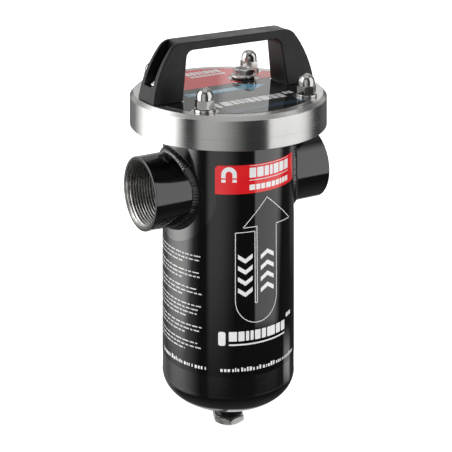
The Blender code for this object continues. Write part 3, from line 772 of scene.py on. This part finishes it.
def build_nut(index):
    """Domed nut: chamfered hexagon, short neck and a full round cap, tapped from below."""
    low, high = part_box(f"dome_nut_{index}")
    middle = (low + high) / 2
    height = high.z - low.z
    phase = math.atan2(middle.y, middle.x)
    nut = hexagon(f"cap_nut_{index}", NUT_FLATS, 0, NUT_HEX_HEIGHT, phase)
    spring = height - NUT_DOME_R
    steps = 16
    arc = [quarter(i / steps) for i in range(steps)]
    cap = [(NUT_DOME_R * across, spring + NUT_DOME_R * up, 0) for across, up in arc]
    cap += [(0, height, 0), (0, NUT_HEX_HEIGHT / 2, 0), (NUT_DOME_R, NUT_HEX_HEIGHT / 2, 0)]
    combine(nut, "UNION", lathe("cap", cap, NUT_ROUND))
    mouth = 4.9 * MM
    bore = 4.12 * MM
    drilled = [(0, -OVER, 0), (mouth, -OVER, 0), (mouth, 0, 0), (bore, 0.8 * MM, 0),
               (bore, 11.2 * MM, 0), (0, 12.4 * MM, 0)]
    cut(nut, lathe("bore", drilled, SMALL_ROUND))
    dress(nut, BRIGHT, f"nut_{index}", f"dome_nut_{index}", at=(middle.x, middle.y, low.z))

    thread = threaded_sleeve(f"nut_thread_{index}", 4.1 * MM, 4.08 * MM, 0.6 * MM, STUD_PITCH,
                             0.9 * MM, 10.9 * MM, 40)
    dress(thread, BRIGHT, f"nut_{index}", angle=60, at=(middle.x, middle.y, low.z))


# ---- lid

def lid_holes():
    """Cutters for the stud, vent and handle-screw holes."""
    low = LID_LOW.z - OVER
    high = LID_HIGH.z + OVER
    holes = holes_over("stud", 4, "stud_hole", 4.5 * MM, low, high)
    holes.append(disc("vent_hole", VENT_SHANK_R + 0.15 * MM, low, high, centre=(VENT_X, VENT_Y)))
    holes.append(disc("spigot_hole", 6.2 * MM, low, FLANGE_HIGH.z + 10.3 * MM))
    holes += holes_over("handle_screw", 2, "screw_hole", 3.4 * MM, LID_HIGH.z - 12 * MM, high)
    return holes


def build_lid():
    """Lid whose skirt closes on the flange, so that the two read as one ring."""
    skirt = FLANGE_HIGH.z + HAIRLINE
    corners = [
        (FLANGE_R - LID_CHAMFER, LID_HIGH.z, 0.3),
        (FLANGE_R, LID_HIGH.z - LID_CHAMFER, 0.3),
        (FLANGE_R, skirt, 0.05),
        (FLANGE_R - 6 * MM, skirt, 0),
        (FLANGE_R - 6 * MM, LID_LOW.z, 0),
    ]
    lid = cut(spindle("lid_plate", corners, FLANGE_ROUND), *lid_holes())
    dress(lid, TURNED, LID_BODY, "lid")


HANDLE_HEIGHT = HANDLE_HIGH.z - LID_HIGH.z
HANDLE_OUT = HANDLE_HIGH.x
HANDLE_IN = 46.9 * MM
HANDLE_BEAM = 6.4 * MM
FOOT_HALF = HANDLE_HIGH.y
TOP_HALF = 9.6 * MM
CHANNEL_HALF = 6.8 * MM
CHANNEL_FLOOR = 11.5 * MM


def build_handle():
    """Bridge handle: leaning legs, each hollowed from outside down to the seat of its screw."""
    right = [
        (52.85 * MM, HANDLE_HEIGHT, 11.5 * MM),
        (68.9 * MM, 21.2 * MM, 80 * MM),
        (HANDLE_OUT, 0, 0),
        (HANDLE_IN, 0, 0),
        (41.6 * MM, HANDLE_HEIGHT - HANDLE_BEAM, 6 * MM),
    ]
    left = [(-x, z, radius) for x, z, radius in reversed(right)]
    handle = prism("bridge_handle", rounded(right + left, 10), -1, 1)
    bake_place(handle, Matrix.Rotation(math.pi / 2, 4, "X"))
    foot = 2 * HAIRLINE
    for vertex in handle.data.vertices:
        share = vertex.co.z / HANDLE_HEIGHT
        vertex.co.y *= FOOT_HALF + (TOP_HALF - FOOT_HALF) * share
        vertex.co.z += LID_HIGH.z + foot * (1 - share)
    round_edges(handle, 1.0 * MM, 4, 50)
    floor = LID_HIGH.z + CHANNEL_FLOOR
    over = 10 * MM
    cutters = []
    for side in (-1, 1):
        profile = rounded([
            (side * (HANDLE_IN + 4 * MM), floor, 1.2 * MM),
            (side * (HANDLE_OUT + over), floor, 0),
            (side * (HANDLE_OUT + over), LID_HIGH.z + HANDLE_HEIGHT + over, 0),
            (side * (HANDLE_IN + 1.5 * MM), LID_HIGH.z + HANDLE_HEIGHT + over, 0),
        ], 5)
        channel = prism(f"channel_{side}", profile, -CHANNEL_HALF, CHANNEL_HALF)
        bake_place(channel, Matrix.Rotation(math.pi / 2, 4, "X"))
        cutters.append(channel)
    cutters += holes_over("handle_screw", 2, "foot_hole", 3.4 * MM, LID_HIGH.z - over, floor + over)
    cut(handle, *cutters)
    round_edges(handle, 0.35 * MM, 2, 60)
    dress(handle, PLASTIC, LID_BODY, "handle", angle=45)


def build_handle_screw(index):
    """Pan-head screw with a cross recess."""
    low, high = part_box(f"handle_screw_{index}")
    middle = (low + high) / 2
    head = (high.x - low.x) / 2
    seat = high.z - 3.4 * MM
    corners = [(head * 0.62, high.z, 0.8), (head, seat + 1.4 * MM, 0.8),
               (head, seat, 0.2), (3 * MM, seat, 0), (3 * MM, low.z, 0.5)]
    screw = spindle(f"pan_screw_{index}", corners, SMALL_ROUND)
    long = 2.7 * MM
    thin = 0.6 * MM
    recess = [box("slot", (-x, -y, high.z - 1.5 * MM), (x, y, high.z + OVER))
              for x, y in ((long, thin), (thin, long))]
    cut(screw, *recess)
    dress(screw, BRIGHT, LID_BODY, f"handle_screw_{index}", at=(middle.x, middle.y, 0))


# ---- vent and drain

def build_vent():
    """Vent plug: seal, collar and hexagon with a well, in which the bleed screw sits."""
    bare = VENT_SHANK_R + 0.3 * MM
    seal = ring("vent_washer", (VENT_SEAL_HIGH.x - VENT_SEAL_LOW.x) / 2, bare, VENT_SEAL_LOW.z,
                VENT_SEAL_HIGH.z, (0.3, 0.3, 0, 0), NUT_ROUND)
    dress(seal, RUBBER, "vent_seal", "vent_seal", at=VENT_SPOT)

    foot = VENT_SEAL_HIGH.z + 0.3 * MM
    shoulder = foot + VENT_COLLAR_THICK
    top = VENT_HIGH.z
    plug = hexagon("vent_hex", VENT_FLATS, (foot + shoulder) / 2, top, VENT_PHASE, False)
    neck = VENT_SHANK_R - 1 * MM
    collar = [(VENT_COLLAR_R - 1.2 * MM, shoulder, 0.3), (VENT_COLLAR_R, shoulder - 0.9 * MM, 0.4),
              (VENT_COLLAR_R, foot, 0.3), (neck, foot, 0), (neck, foot - 2 * MM, 0)]
    combine(plug, "UNION", spindle("collar", collar))
    lip = 6.1 * MM
    well_floor = top - VENT_WELL_DEPTH
    bore = BLEED_R + 0.2 * MM
    well = [(lip, top + OVER, 0), (lip, top, 0),
            (lip - 0.4 * MM, top - 0.4 * MM, 0), (lip - 0.7 * MM, well_floor, 0.4),
            (bore, well_floor, 0.2), (bore, BLEED_LOW.z, 0)]
    cut(plug, spindle("well", well, NUT_ROUND))
    dress(plug, DULL, "vent_plug", "vent_plug", at=VENT_SPOT)

    shank = threaded_rod("vent_thread", VENT_SHANK_R, PLUG_THREAD_DEPTH, PLUG_PITCH, VENT_LOW.z,
                         foot - 0.2 * MM, NUT_ROUND)
    cut(shank, disc("shank_well", bore, BLEED_LOW.z - 0.3 * MM, foot + OVER))
    dress(shank, BRIGHT, "vent_plug", angle=60, at=VENT_SPOT)

    pin = [(BLEED_R, BLEED_HIGH.z, 0.5), (BLEED_R, BLEED_LOW.z, 0)]
    slot = box("slot", (-0.5 * MM, -4 * MM, BLEED_HIGH.z - OVER),
               (0.5 * MM, 4 * MM, BLEED_HIGH.z + OVER))
    bleed = cut(spindle("bleed_pin", pin, SMALL_ROUND), slot)
    dress(bleed, STEEL, "bleed_screw", "bleed_screw", at=VENT_SPOT)


def build_drain():
    """Drain boss, and the plug with its seal."""
    boss = ring("drain_boss", BOSS_HIGH.x, DRAIN_SHANK_R + 0.15 * MM, BOSS_LOW.z, BOSS_HIGH.z,
                (0.4, 0.5, 0.4, 0.3))
    dress(boss, PAINT, BODY, "drain_socket")

    seal = ring("drain_washer", DRAIN_SEAL_HIGH.x, DRAIN_SHANK_R + 0.3 * MM, DRAIN_SEAL_LOW.z,
                DRAIN_SEAL_HIGH.z, (0.35, 0.35, 0, 0))
    dress(seal, RUBBER, "drain_seal", "drain_seal")

    plug = hexagon("drain_hex", DRAIN_FLATS, DRAIN_LOW.z, DRAIN_HEX_HEIGHT, DRAIN_PHASE)
    dress(plug, ZINC, "drain_plug", "drain_plug")
    shank = threaded_rod("drain_thread", DRAIN_SHANK_R, PLUG_THREAD_DEPTH, PLUG_PITCH,
                         DRAIN_HEX_HEIGHT - 0.2 * MM, DRAIN_HIGH.z, 72)
    dress(shank, BRIGHT, "drain_plug", angle=60)


# ---- print

FRONT = -math.pi / 2  # angle of the middle of the label's front
UPPER_BLOCKS = [4, 4, 3, 2, 4, 4, 4]
LOWER_BLOCKS = [4, 3, 3, 4, 3, 3, 2, 3, 3]


def wrap_round_body(point):
    """From (across, out, up) on flat print to its place on the body label."""
    place = polar(LABEL_R + PRINT_GAP + point.y, FRONT + point.x / LABEL_R)
    return Vector((*place, point.z))


def lay_on_lid(point):
    """From (x, out, y) on flat print to its place on the lid label."""
    return Vector((point.x, point.z, LID_FILM_TOP + PRINT_GAP + point.y))


def print_shapes(name, shapes, finish, body=BODY, rise=0.0):
    """Thin raised print: each shape is a list of outlines, the first outer and the rest holes."""
    wrap = wrap_round_body if body == BODY else lay_on_lid
    cage = bmesh.new()
    for outlines in shapes:
        edges = []
        for outline in outlines:
            verts = [cage.verts.new((p[0] * MM, 0, p[1] * MM)) for p in outline]
            edges += [cage.edges.new((verts[i - 1], verts[i])) for i in range(len(verts))]
        bmesh.ops.triangle_fill(cage, use_beauty=True, use_dissolve=False, edges=edges)
    if body == BODY:
        across = [v.co.x / PRINT_SLICE for v in cage.verts]
        for k in range(math.ceil(min(across)), math.floor(max(across)) + 1):
            bmesh.ops.bisect_plane(cage, geom=cage.verts[:] + cage.edges[:] + cage.faces[:],
                                   plane_co=(k * PRINT_SLICE, 0, 0), plane_no=(1, 0, 0), dist=TINY)
    bmesh.ops.recalc_face_normals(cage, faces=cage.faces)
    result = bmesh.ops.extrude_face_region(cage, geom=cage.faces[:])
    for item in result["geom"]:
        if isinstance(item, bmesh.types.BMVert):
            item.co.y = PRINT_THICK
    for vertex in cage.verts:
        vertex.co.y += rise
        vertex.co = wrap(vertex.co)
    dress(keep(name, cage), finish, body)


def bar(left, right, low, high, radius=0.0):
    radius = min(radius, (right - left) * 0.45, (high - low) * 0.45)
    return [rounded([(left, low, radius), (right, low, radius), (right, high, radius),
                     (left, high, radius)], 4)]


def word(left, right, low, high, widths, gap):
    """A row of plain blocks that stands for a word."""
    scale = (right - left - gap * (len(widths) - 1)) / sum(widths)
    blocks = []
    x = left
    for width in widths:
        blocks.append(bar(x, x + width * scale, low, high, 0.5))
        x += width * scale + gap
    return blocks


def letters(left, right, low, size, seed):
    """A row of slim uprights of uneven height that stands for a line of text."""
    draw = random.Random(seed)
    strokes = []
    x = left
    while x < right:
        width = draw.choice((0.7, 1.1, 1.5)) * size / 2.2
        top = low + size * draw.choice((0.8, 0.8, 0.8, 1.15))
        strokes.append(bar(x, x + width, low, top, 0.3))
        x += width + draw.choice((0.7, 0.7, 0.8, 1.4)) * size / 2.2
    return strokes


def shape(*points):
    return [[Vector(point) for point in points]]


def chevron(middle, low, half_width, rise, thick):
    """V-shaped mark that points up if rise is positive and down if it is negative."""
    left, right, tip = middle - half_width, middle + half_width, low + rise
    return shape((left, low), (middle, tip), (right, low), (right, low + thick),
                 (middle, tip + thick), (left, low + thick))


def magnet_mark(x, z, size):
    """Horseshoe magnet, poles down, each pole tip set off by a gap."""
    outer = size / 2
    inner = size * 0.22
    foot = z - size * 0.22
    arc = half_circle(1, 14)
    arch = [(x + outer * c, z + outer * s) for c, s in arc]
    arch += [(x - outer, foot), (x - inner, foot)]
    arch += [(x - inner * c, z + inner * s) for c, s in arc]
    arch += [(x + inner, foot), (x + outer, foot)]
    tips = [bar(left, left + outer - inner, z - size * 0.5, z - size * 0.31)
            for left in (x - outer, x + inner)]
    return [[arch]] + tips


def stroke(outline, width):
    """Outline drawn as a line of even width: an outer and an inner loop."""
    return [offset(outline, width / 2), offset(outline, -width / 2)]


def offset(outline, distance):
    points = [Vector(p) for p in outline]
    points = [p for i, p in enumerate(points) if (p - points[i - 1]).length > 1e-4]
    moved = []
    for i, point in enumerate(points):
        before = (point - points[i - 1]).normalized()
        after = (points[(i + 1) % len(points)] - point).normalized()
        middle = (before + after).normalized()
        normal = Vector((middle.y, -middle.x))
        reach = max(0.35, normal.dot(Vector((after.y, -after.x))))
        moved.append(point + normal * distance / reach)
    return moved


def flow_arrow():
    """One line round a channel that runs down, turns and rises into an arrowhead."""
    return rounded([
        (-22.3, 162.3, 0.3), (-22.3, 95.2, 17.2), (12.4, 95.2, 17.2), (12.0, 165.0, 0.3),
        (29.5, 164.2, 0.4), (3.0, 186.3, 0.4), (-16.8, 165.6, 0.4), (-5.7, 166.0, 0.3),
        (-5.3, 109.6, 0.7), (-7.0, 109.6, 0.7), (-7.4, 162.6, 0.3),
    ], 10)


def small_print(left, right, top, groups, seed):
    """Lines of tiny word-like dashes, in short paragraphs."""
    draw = random.Random(seed)
    dashes = []
    z = top
    for lines in groups:
        for k in range(lines):
            end = right - draw.uniform(0, 7) - (14 if k == lines - 1 else 0)
            x = left + draw.uniform(0, 3)
            while x < end:
                length = draw.uniform(2.0, 6.5)
                dashes.append(bar(x, min(x + length, end + 1), z - 0.9, z, 0.3))
                x += length + 1.0
            z -= 3.0
        z -= 3.3
    return dashes


def build_body_label():
    """Wrap-round film, cut out round the ports."""
    label = ring("body_wrap", LABEL_R, TUBE_R + PRINT_GAP, LABEL_LOW.z, LABEL_HIGH.z,
                 (0.03, 0.03, 0, 0), FINE_ROUND)
    arch = [(x, PORT_Z - y) for x, y in half_circle(PORT_GAP, 48)]
    arch += [(-PORT_GAP, LID_HIGH.z), (PORT_GAP, LID_HIGH.z)]
    window = prism("window", arch, -PORT_REACH, PORT_REACH)
    bake_place(window, Matrix.Rotation(math.pi / 2, 4, "Z") @ Matrix.Rotation(math.pi / 2, 4, "X"))
    cut(label, window)
    dress(label, FILM, BODY, "body_label")


def build_body_print():
    """The front's red panel, flow arrow and marks, and the notes at the side and back, in mm."""
    left, right, low, top = -37.4, 37.0, 190.8, 212.0
    panel = [rounded([(left, top, 3.2), (left, low, 0.4), (right, low, 0.4), (right, top, 3.2)], 8)]
    print_shapes("print_red_panel", [panel], RED)

    marks = magnet_mark(-27.0, 205.2, 11.4)
    marks += word(-11.6, 27.0, 202.4, 209.6, UPPER_BLOCKS, 1.0)
    marks += word(-11.6, 26.4, 193.2, 197.2, LOWER_BLOCKS, 0.8)
    marks += [bar(-11.6, 27.0, 200.3, 200.8), bar(-11.6, 27.0, 211.0, 211.3)]
    print_shapes("print_panel_marks", marks, WHITE, rise=PRINT_OVER)

    white = []
    for k in range(4):
        white.append(chevron(-14.8, 118.5 + 8.2 * k, 5.6, -3.6, 3.2))
        white.append(chevron(3.4, 116.5 + 8.2 * k, 5.9, 3.6, 3.2))
    white += word(-27.2, 22.0, 82.6, 89.6, [4, 3, 1.6, 1.6, 3, 2.4, 5, 3, 3], 1.1)
    white += [bar(-27.2, 22.0, 79.4, 80.5, 0.4), bar(-35.0, -29.6, 79.4, 89.6, 1.6)]
    white += word(24.2, 31.5, 90.6, 93.6, [3, 3], 0.7)
    white += letters(-33.4, 36.0, 60.2, 2.6, 29)
    white += letters(-92.0, -44.6, 60.2, 2.8, 31)
    print_shapes("print_white_marks", white, WHITE)
    print_shapes("print_flow_arrow", [stroke(flow_arrow(), 0.5)], WHITE)
    notes = small_print(-112.0, -46.0, 143.4, [3, 3, 3, 4, 3, 3], 11)
    print_shapes("print_small_left", notes, GREY_WHITE)
    back = small_print(112.0, 158.0, 150.0, [4, 4, 3, 3], 23)
    print_shapes("print_small_back", back, GREY_WHITE)


def lid_gaps():
    """Cutters for what stands through the lid label."""
    low = LID_HIGH.z - OVER
    high = LID_HIGH.z + OVER
    gaps = holes_over("stud", 4, "nut_gap", NUT_GAP, low, high, NUT_ROUND)
    gaps.append(disc("vent_gap", VENT_GAP, low, high, NUT_ROUND, (VENT_X, VENT_Y)))
    half = FOOT_HALF + FOOT_GAP
    for side in (-1, 1):
        near = side * (HANDLE_IN - FOOT_GAP)
        far = side * (HANDLE_OUT + 5 * MM)
        gaps.append(box(f"foot_gap_{side}", (min(near, far), -half, low), (max(near, far), half, high)))
    return gaps


def lid_sheet(name, low, high, radius, *extra):
    sheet = spindle(name, [(radius, high, 0.03), (radius, low, 0)], FINE_ROUND, 2)
    return cut(sheet, *lid_gaps(), *extra)


def build_lid_label():
    """Round film with its print: a red back part, an arrow across and marks at the front."""
    low = LID_HIGH.z + PRINT_GAP
    top = LID_FILM_TOP
    dress(lid_sheet("lid_wrap", low, top, LID_LABEL_R), FILM, LID_BODY, "lid_label")
    reach = LID_LABEL_R * 1.1
    front = box("front_part", (-reach, -reach, low - OVER), (reach, 14.5 * MM, top + OVER))
    red = lid_sheet("print_lid_red", top + PRINT_GAP, top + PRINT_GAP + PRINT_THICK,
                    LID_LABEL_R - 0.4 * MM, front)
    dress(red, RED, LID_BODY)

    arrow = shape((-38.0, -5.5), (-38.0, 3.5), (14.5, 3.5), (14.5, 9.0), (34.0, -1.0),
                  (14.5, -11.0), (14.5, -5.5))
    print_shapes("print_lid_arrow", [arrow], BLUE, LID_BODY)
    streaks = word(-34.0, 8.0, -2.6, 1.0, [4, 2, 3, 5, 2, 3, 4, 2, 3], 1.2)
    print_shapes("print_lid_streaks", streaks, PALE_BLUE, LID_BODY, PRINT_OVER)

    marks = word(-26.0, 28.5, -39.5, -29.0, [4, 2.4, 1.6, 1.2, 2.6, 2.2, 4.4, 2.6, 2.8], 1.1)
    marks += word(31.0, 39.0, -33.0, -27.0, [3, 3], 1.0)
    marks += [bar(-33.0, -28.4, -41.5, -28.5, 2.2)]
    print_shapes("print_lid_marks", marks, WHITE, LID_BODY)
    upper = word(-8.0, 24.0, 50.0, 59.0, UPPER_BLOCKS, 1.0)
    upper += word(-8.0, 24.0, 42.8, 47.6, LOWER_BLOCKS, 0.8)
    print_shapes("print_lid_upper", upper, WHITE, LID_BODY, PRINT_OVER)
    band = shape((-34.0, -50.0), (40.0, -50.0), (34.0, -56.0), (-30.0, -59.5))
    print_shapes("print_lid_band", [band], DEEP_BLUE, LID_BODY)


# ---- inside

def build_core():
    """Polished core tube, its end plug and the spigot that hangs it from the lid."""
    low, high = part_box("core_tube")
    outer = high.x
    inner = outer - 1.5 * MM
    tube = ring("core_sleeve", outer, inner, low.z, high.z, (0.3, 0.3, 0, 0))
    dress(tube, BRIGHT, LID_BODY, "core_tube")

    low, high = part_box("core_end_plug")
    rim_top = low.z + 3 * MM
    neck = inner - 0.3 * MM
    plug = spindle("core_tip", [(neck, high.z, 0.3), (neck, rim_top, 0), (outer, rim_top, 0.3),
                                (outer, low.z, 1.6)])
    dress(plug, STEEL, LID_BODY, "core_end_plug")

    low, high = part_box("core_spigot")
    pin = 6 * MM
    flange = high.z - 10 * MM
    step = flange - 6 * MM
    spigot = spindle("core_hanger", [(pin, high.z, 0.8), (pin, flange, 0), (high.x, flange, 0.3),
                                     (high.x, step, 0.8), (neck, step, 0), (neck, low.z, 0.3)])
    dress(spigot, STEEL, LID_BODY, "core_spigot")


def build_magnet_stack():
    """Plated magnets and plain pole pieces, each a turned disc with broken edges."""
    for name in sorted(NODES):
        finish = {"magnet": MAGNET, "pole_p": POLE}.get(name[:6])
        if finish is None:
            continue
        low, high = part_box(name)
        piece = disc("fine_" + name, high.x, low.z, high.z, ROUND, edge=0.4)
        dress(piece, finish, LID_BODY, name)


# ---- studio

CAMERA_HEADING = math.radians(30)  # turned from square-on towards the inlet
CAMERA_DISTANCE = 1006.9 * MM
CAMERA_ASIDE = -18.0 * MM
CAMERA_HEIGHT = 520.4 * MM
LENS = 103.5
SHIFT_X = 0.0465
SHIFT_Y = -1.0609

# Panels of light as the object sees them, in degrees: azimuth from the camera's side at each
# side's dark and full ends, how far that moves with each degree of elevation above LEVEL,
# elevation at the lower and upper dark and full ends, and strength.
PANELS = [
    ((-148, -84), (-83, -59, 2.3), (-27.4, -21.8), (40, 60), 3.3),
    ((-148, -90), (-86, -45, 0), (-40, -30), (40, 60), 0.75),
    ((-175, -150), (-130, -116, 0), (-60, -30), (40, 60), 0.22),
    ((-43, -31), (-22, 24, 1.0), (-29, -20), (30, 50), 0.68),
    ((44, 48), (86, 106, 2.0), (-24.4, -23.6), (40, 60), 1.4),
    ((126, 136), (160, 175, 0), (-24, -20), (40, 60), 0.12),
    ((108, 114), (126, 140, 0), (-26.2, -25.6), (-25.0, -23.8), 1.0),
    ((-180, -172), (-178, -160, 0), (-70, -60), (40, 60), 1.0),
    ((160, 178), (179, 180, 0), (-70, -60), (40, 60), 1.0),
]
LEVEL = -21.0
SLANT_END = 5.0  # degrees above LEVEL where the slant stops
AMBIENT = 0.045
BELOW = 0.09
ABOVE = 0.7


def studio_light():
    """World that the camera sees as white paper and the object sees as a dim room of soft panels."""
    world = bpy.data.worlds.new("studio")
    bpy.context.scene.world = world
    world.use_nodes = True
    tree = world.node_tree
    tree.nodes.clear()
    nodes = Nodes(tree)
    split = nodes.add("ShaderNodeSeparateXYZ")
    nodes.feed(split.inputs[0], nodes.add("ShaderNodeTexCoord").outputs["Generated"])
    x, y, z = split.outputs
    toward = (-math.sin(CAMERA_HEADING), -math.cos(CAMERA_HEADING))
    aside = (math.cos(CAMERA_HEADING), -math.sin(CAMERA_HEADING))
    ahead = nodes.math("MULTIPLY_ADD", x, toward[0], nodes.math("MULTIPLY", y, toward[1]))
    right = nodes.math("MULTIPLY_ADD", x, aside[0], nodes.math("MULTIPLY", y, aside[1]))
    azimuth = nodes.math("DEGREES", nodes.math("ARCTAN2", right, ahead))
    elevation = nodes.math("DEGREES", nodes.math("ARCSINE", z))

    total = nodes.remap(elevation, -60.0, -40.0, BELOW, AMBIENT)
    total = nodes.math("MAXIMUM", total, nodes.remap(elevation, 48.0, 75.0, AMBIENT, ABOVE))
    behind = nodes.remap(nodes.math("ABSOLUTE", azimuth), 118.0, 150.0)
    behind = nodes.math("MULTIPLY", behind, nodes.remap(elevation, 2.0, 10.0))
    total = nodes.math("MAXIMUM", total, nodes.math("MULTIPLY", behind, 0.55))
    over = nodes.math("SUBTRACT", elevation, LEVEL)
    for left, far, low, high, strength in PANELS:
        slant = nodes.math("MULTIPLY", nodes.math("MINIMUM", over, SLANT_END), far[2])
        turned = nodes.math("SUBTRACT", azimuth, slant)
        panel = strength
        for part in (nodes.remap(azimuth, *left), nodes.remap(turned, *far[:2], 1.0, 0.0),
                     nodes.remap(elevation, *low), nodes.remap(elevation, *high, 1.0, 0.0)):
            panel = nodes.math("MULTIPLY", part, panel)
        total = nodes.math("MAXIMUM", total, panel)

    mix = nodes.add("ShaderNodeMixShader")
    nodes.feed(mix.inputs[0], nodes.add("ShaderNodeLightPath").outputs["Is Camera Ray"])
    room = ((1.0, 0.995, 0.985, 1), total)
    paper = ((1, 1, 1, 1), 1.0)
    for socket, (color, strength) in zip(mix.inputs[1:], (room, paper)):
        light = nodes.add("ShaderNodeBackground")
        nodes.feed(light.inputs["Color"], color)
        nodes.feed(light.inputs["Strength"], strength)
        nodes.feed(socket, light.outputs[0])
    output = nodes.add("ShaderNodeOutputWorld")
    nodes.feed(output.inputs["Surface"], mix.outputs[0])


def build_floor():
    """Pale paper floor under the object, bright enough to stay white."""
    low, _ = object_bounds()
    cage = bmesh.new()
    bmesh.ops.create_circle(cage, cap_ends=True, segments=96, radius=6.0)
    floor = keep("paper_floor", cage)
    floor.location.z = low.z - 0.4 * MM
    made, nodes = material("paper", (0.86, 0.86, 0.86), 0.9)
    fibre = nodes.noise(900.0, 3.0)
    nodes.set(Roughness=nodes.remap(fibre, 0.3, 0.7, 0.85, 0.95), Emission_Color=(1, 1, 1, 1),
              Emission_Strength=0.85)
    floor.data.materials.append(made)
    floor.visible_glossy = False


def shift_driver(data, path, value, camera, station):
    """Shift the lens only while the camera stands at its own station."""
    driver = data.driver_add(path).driver
    driver.type = "SCRIPTED"
    tests = []
    for axis, place in (("X", station.x), ("Z", station.z)):
        variable = driver.variables.new()
        variable.name = "at_" + axis.lower()
        variable.type = "TRANSFORMS"
        target = variable.targets[0]
        target.id = camera
        target.transform_type = "LOC_" + axis
        target.transform_space = "WORLD_SPACE"
        tests.append(f"abs({variable.name} - {place:.5f}) < 0.001")
    driver.expression = f"{value} if {tests[0]} and {tests[1]} else 0"


def build_camera():
    """Level camera with a dropped lens, so that uprights stay upright."""
    ahead = Vector((math.sin(CAMERA_HEADING), math.cos(CAMERA_HEADING), 0))
    aside = Vector((ahead.y, -ahead.x, 0))
    data = bpy.data.cameras.new("camera")
    camera = bpy.data.objects.new("camera", data)
    bpy.context.scene.collection.objects.link(camera)
    camera.location = aside * CAMERA_ASIDE - ahead * CAMERA_DISTANCE + Vector((0, 0, CAMERA_HEIGHT))
    camera.rotation_mode = "QUATERNION"
    camera.rotation_quaternion = ahead.to_track_quat("-Z", "Y")
    data.lens = LENS
    data.sensor_width = 36.0
    data.clip_start = 0.01
    data.clip_end = 50.0
    shift_driver(data, "shift_x", SHIFT_X, camera, camera.location)
    shift_driver(data, "shift_y", SHIFT_Y, camera, camera.location)
    bpy.context.scene.camera = camera


# ---- build

build_tube()
build_dish()
build_fillets()
for port, end in (("inlet", -1), ("outlet", 1)):
    build_port(port, end)
    build_weld(port, end)
build_flange()
build_lid_seal()
build_divider()
build_studs()
for number in range(1, 5):
    build_washer(number)
    build_nut(number)
build_lid()
build_handle()
for number in (1, 2):
    build_handle_screw(number)
build_vent()
build_drain()
build_body_label()
build_body_print()
build_lid_label()
build_core()
build_magnet_stack()

build_floor()
studio_light()
build_camera()
bpy.context.scene.view_settings.view_transform = "Standard"
